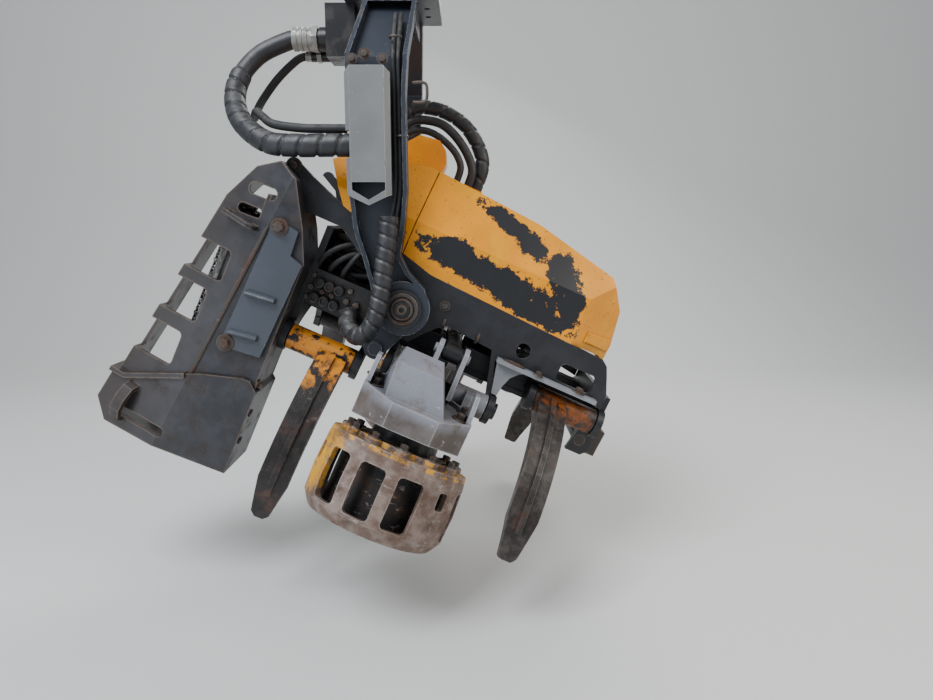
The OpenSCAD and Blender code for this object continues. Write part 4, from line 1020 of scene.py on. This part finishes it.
# Middle x and z of each spool's cap, then the same and the size of each plug between them
SPOOL_CAPS = [(x, z) for z in (-85, -40) for x in (-250, -220, -190)]
PLUGS = [(-235, -62, 15), (-205, -62, 15), (-270, -60, 17), (-160, -60, 17), (-160, -28, 15), (-160, -92, 15),
         (-272, -92, 13), (-272, -26, 13), (-130, -60, 19), (-130, -92, 15)]
BAY_HOSES = [
    [(-66, -120, 95), (-100, -150, 108), (-150, -190, 112), (-200, -220, 100), (-238, -236, 74),
     (-262, -236, 42), (-274, -222, 12), (-274, -200, -6)],
    [(-66, -140, 70), (-100, -165, 84), (-150, -205, 90), (-190, -230, 74), (-218, -238, 46),
     (-236, -226, 14), (-238, -200, -6)],
    [(-66, -100, 112), (-100, -140, 122), (-140, -190, 118), (-170, -226, 90), (-186, -238, 54),
     (-198, -226, 14), (-200, -200, -6)],
]
BAY_HOSE_RADIUS, BAY_STEP = 8.0, 6.0
# Heights of the hoses through the frame at their front and rear end, and their layers from near to far;
# together they stand as a dark curtain in place of the shade deep in the bay
SHADE_CURTAIN_ROWS = [(-6, -10), (18, 12), (45, 46), (74, 72), (100, 98)]
SHADE_CURTAIN_LAYERS = (-115, -35, 45, 125)


def valve_bay():
    shape = Shape()
    r = CAP_RADIUS
    for x, z in SPOOL_CAPS:
        at = facing((x, VALVE_FACE, z), NEAR)
        shape.turned([(r, -1), (r, 15), (r - 2, 18), (r * 0.55, 18.5), (r * 0.5, 14)], 22, at)
    finished("spool_caps", shape, HEAD, "frame", "oily_black_valve_paint")
    shape = Shape()
    for x, z, across in PLUGS:
        bolt(shape, (x, VALVE_FACE, z), NEAR, across, washer=False)
    for route in BAY_HOSES:
        line = curve_through(route, BAY_STEP)
        ferrule(shape, facing(line[-1], line[-1] - line[-4]), 9.5, 24)
    finished("valve_plugs", shape, HEAD, "frame")
    shape = Shape()
    for route in BAY_HOSES:
        tube(shape, route, BAY_STEP, BAY_HOSE_RADIUS, 14)
    # Hoses that run through the frame to the saw, packed as a dark curtain that stands in for the shade deep
    # in the bay; they waver to alternate sides
    for layer, y in enumerate(SHADE_CURTAIN_LAYERS):
        for row, (front, rear) in enumerate(SHADE_CURTAIN_ROWS):
            shift = 9 * ((layer + row) % 2) - 5
            route = [(-66, y, front), (-95, y + shift, front + 2), (-135, y - shift, front - 6 + shift),
                     (-190, y + shift, rear - 8 - shift), (-235, y - shift, rear - 2), (-274, y, rear)]
            tube(shape, route, 8.0, 12.0 + shift / 5, 14)
    finished("valve_bay_hoses_and_shade_curtain", shape, HEAD, "frame", "extruded_hose_rubber", ROUND_SKIN)


valve_bay()

# %% [markdown]
# The chain is what cuts, so it gets its real make-up: a tie strap and a cutter in turn, each a bent
# plate with a depth gauge in front of its tooth, riveted along the bar's edge at a fixed pitch.

# %% Saw chain
BAR_X, BAR_Y, BAR_Z = -540, -200, 48
BAR_HALF, LOW_NOSE, TOP_BEND = 46.0, -622, -54
CHAIN_PITCH = 20.5
SPROCKET = 29
# Outlines of one link in (along the chain, outward), in mm
STRAP = [(-9, -4), (9, -4), (11, 0), (9, 4), (-9, 4), (-11, 0)]
CUTTER = [(-9, -4), (9, -4), (11, 1), (10, 9), (3, 11), (1, 4), (-4, 4), (-6, 8), (-9, 7), (-11, 0)]
CUTTER_TOP = [(3, 9), (10, 7), (10, 9), (3, 11)]
# Inner and outer face of the side plates from the chain's middle, and the reach of a cutter's top
PLATE_IN, PLATE_OUT, THIN_OUT, TOP_REACH = 3.2, 5.4, 5.2, 2.5


def chain_line():
    """The chain's closed way round the bar and the sprocket above it, as points of (y, z)."""
    r = BAR_HALF + 3
    nose = [math.pi * (1 + k / 60) for k in range(1, 61)]
    sprocket = [math.radians(20 + 140 * k / 40) for k in range(41)]
    line = [(-r, TOP_BEND + (LOW_NOSE - TOP_BEND) * k / 200) for k in range(201)]
    line += [(r * math.cos(a), LOW_NOSE + r * math.sin(a)) for a in nose]
    line += [(r, LOW_NOSE + (TOP_BEND - LOW_NOSE) * k / 200) for k in range(1, 201)]
    line += [(SPROCKET * math.cos(a), SPROCKET * math.sin(a)) for a in sprocket]
    line.append(line[0])
    return [Vector((BAR_X, BAR_Y + y, BAR_Z + z)) for y, z in line]


def link_plate(shape, outline, faces, at):
    """A plate between two faces, given by how far each is from the chain's middle."""
    shape.rings([[(x, out, along) for along, out in outline] for x in sorted(faces)], at)


def saw_chain():
    line = curve_through(chain_line(), CHAIN_PITCH / 4)
    shape, links = Shape(), len(line) // 4
    for i in range(links):
        here, ahead = line[i * 4], line[(i * 4 + 2) % len(line)]
        along = (ahead - here).normalized()
        out = along.cross(Vector((1, 0, 0)))
        at = Matrix.Translation(here) @ Matrix((Vector((1, 0, 0)), out, along)).transposed().to_4x4()
        if i % 2:
            link_plate(shape, STRAP, (-THIN_OUT, -PLATE_IN), at)
            link_plate(shape, STRAP, (PLATE_IN, THIN_OUT), at)
        else:
            # Cutters face left and right in turn, each with a strap on its other side
            left = -1 if i % 4 == 0 else 1
            link_plate(shape, CUTTER, (left * PLATE_OUT, left * PLATE_IN), at)
            link_plate(shape, CUTTER_TOP, (left * PLATE_OUT, -left * TOP_REACH), at)
            link_plate(shape, STRAP, (-left * PLATE_IN, -left * PLATE_OUT), at)
        for step in (-6, 6):
            shape.turned([(2.6, -6.2), (2.6, 6.2)], 8,
                         at @ Matrix.Translation((0, 0, step)) @ Matrix.Rotation(math.pi / 2, 4, "Y"))
    print("chain links:", links)
    finished("saw_chain", shape, HEAD, "saw", "ground_bar_steel")


saw_chain()

# %% [markdown]
# Two small forms are left: a bent steel pipe that feeds the bar's cylinder, and the pressed panel on
# each side of the cover's nose. The panel is a thin plate laid into the slanting face.

# %% Pipe beside the bar cylinder, and the raised panels on the cover's nose
PIPE = [(-452, -300, 60), (-462, -300, 20), (-470, -300, -60), (-478, -302, -200), (-486, -304, -330),
        (-492, -304, -400)]
# The nose face runs from the first plan point to the second
NOSE_FROM, NOSE_TO = Vector((480, -251, 0)), Vector((640, -150, 0))
NOSE_PANEL = [(44, 112), (150, 108), (140, 148), (46, 146)]


def small_forms():
    shape = Shape()
    tube(shape, PIPE, 8.0, 6, 12)
    finished("bar_cylinder_pipe", shape, HEAD, "frame", "zinc_plated_steel", ROUND_SKIN)
    along = (NOSE_TO - NOSE_FROM).normalized()
    for side in (-1, 1):
        run = Vector((along.x, -side * along.y, 0))
        inward = Vector((-run.y, run.x, 0)) * -side
        start = Vector((NOSE_FROM.x, -side * NOSE_FROM.y, 0))
        at = Matrix.Translation(start) @ Matrix((run, inward, Vector((0, 0, 1)))).transposed().to_4x4()
        shape = Shape()
        shape.plate(NOSE_PANEL, -7, 3, 4.0, at)
        finished("nose_panel_near" if side < 0 else "nose_panel_far", shape, HEAD, "frame",
                 "sprayed_orange_cover")


small_forms()
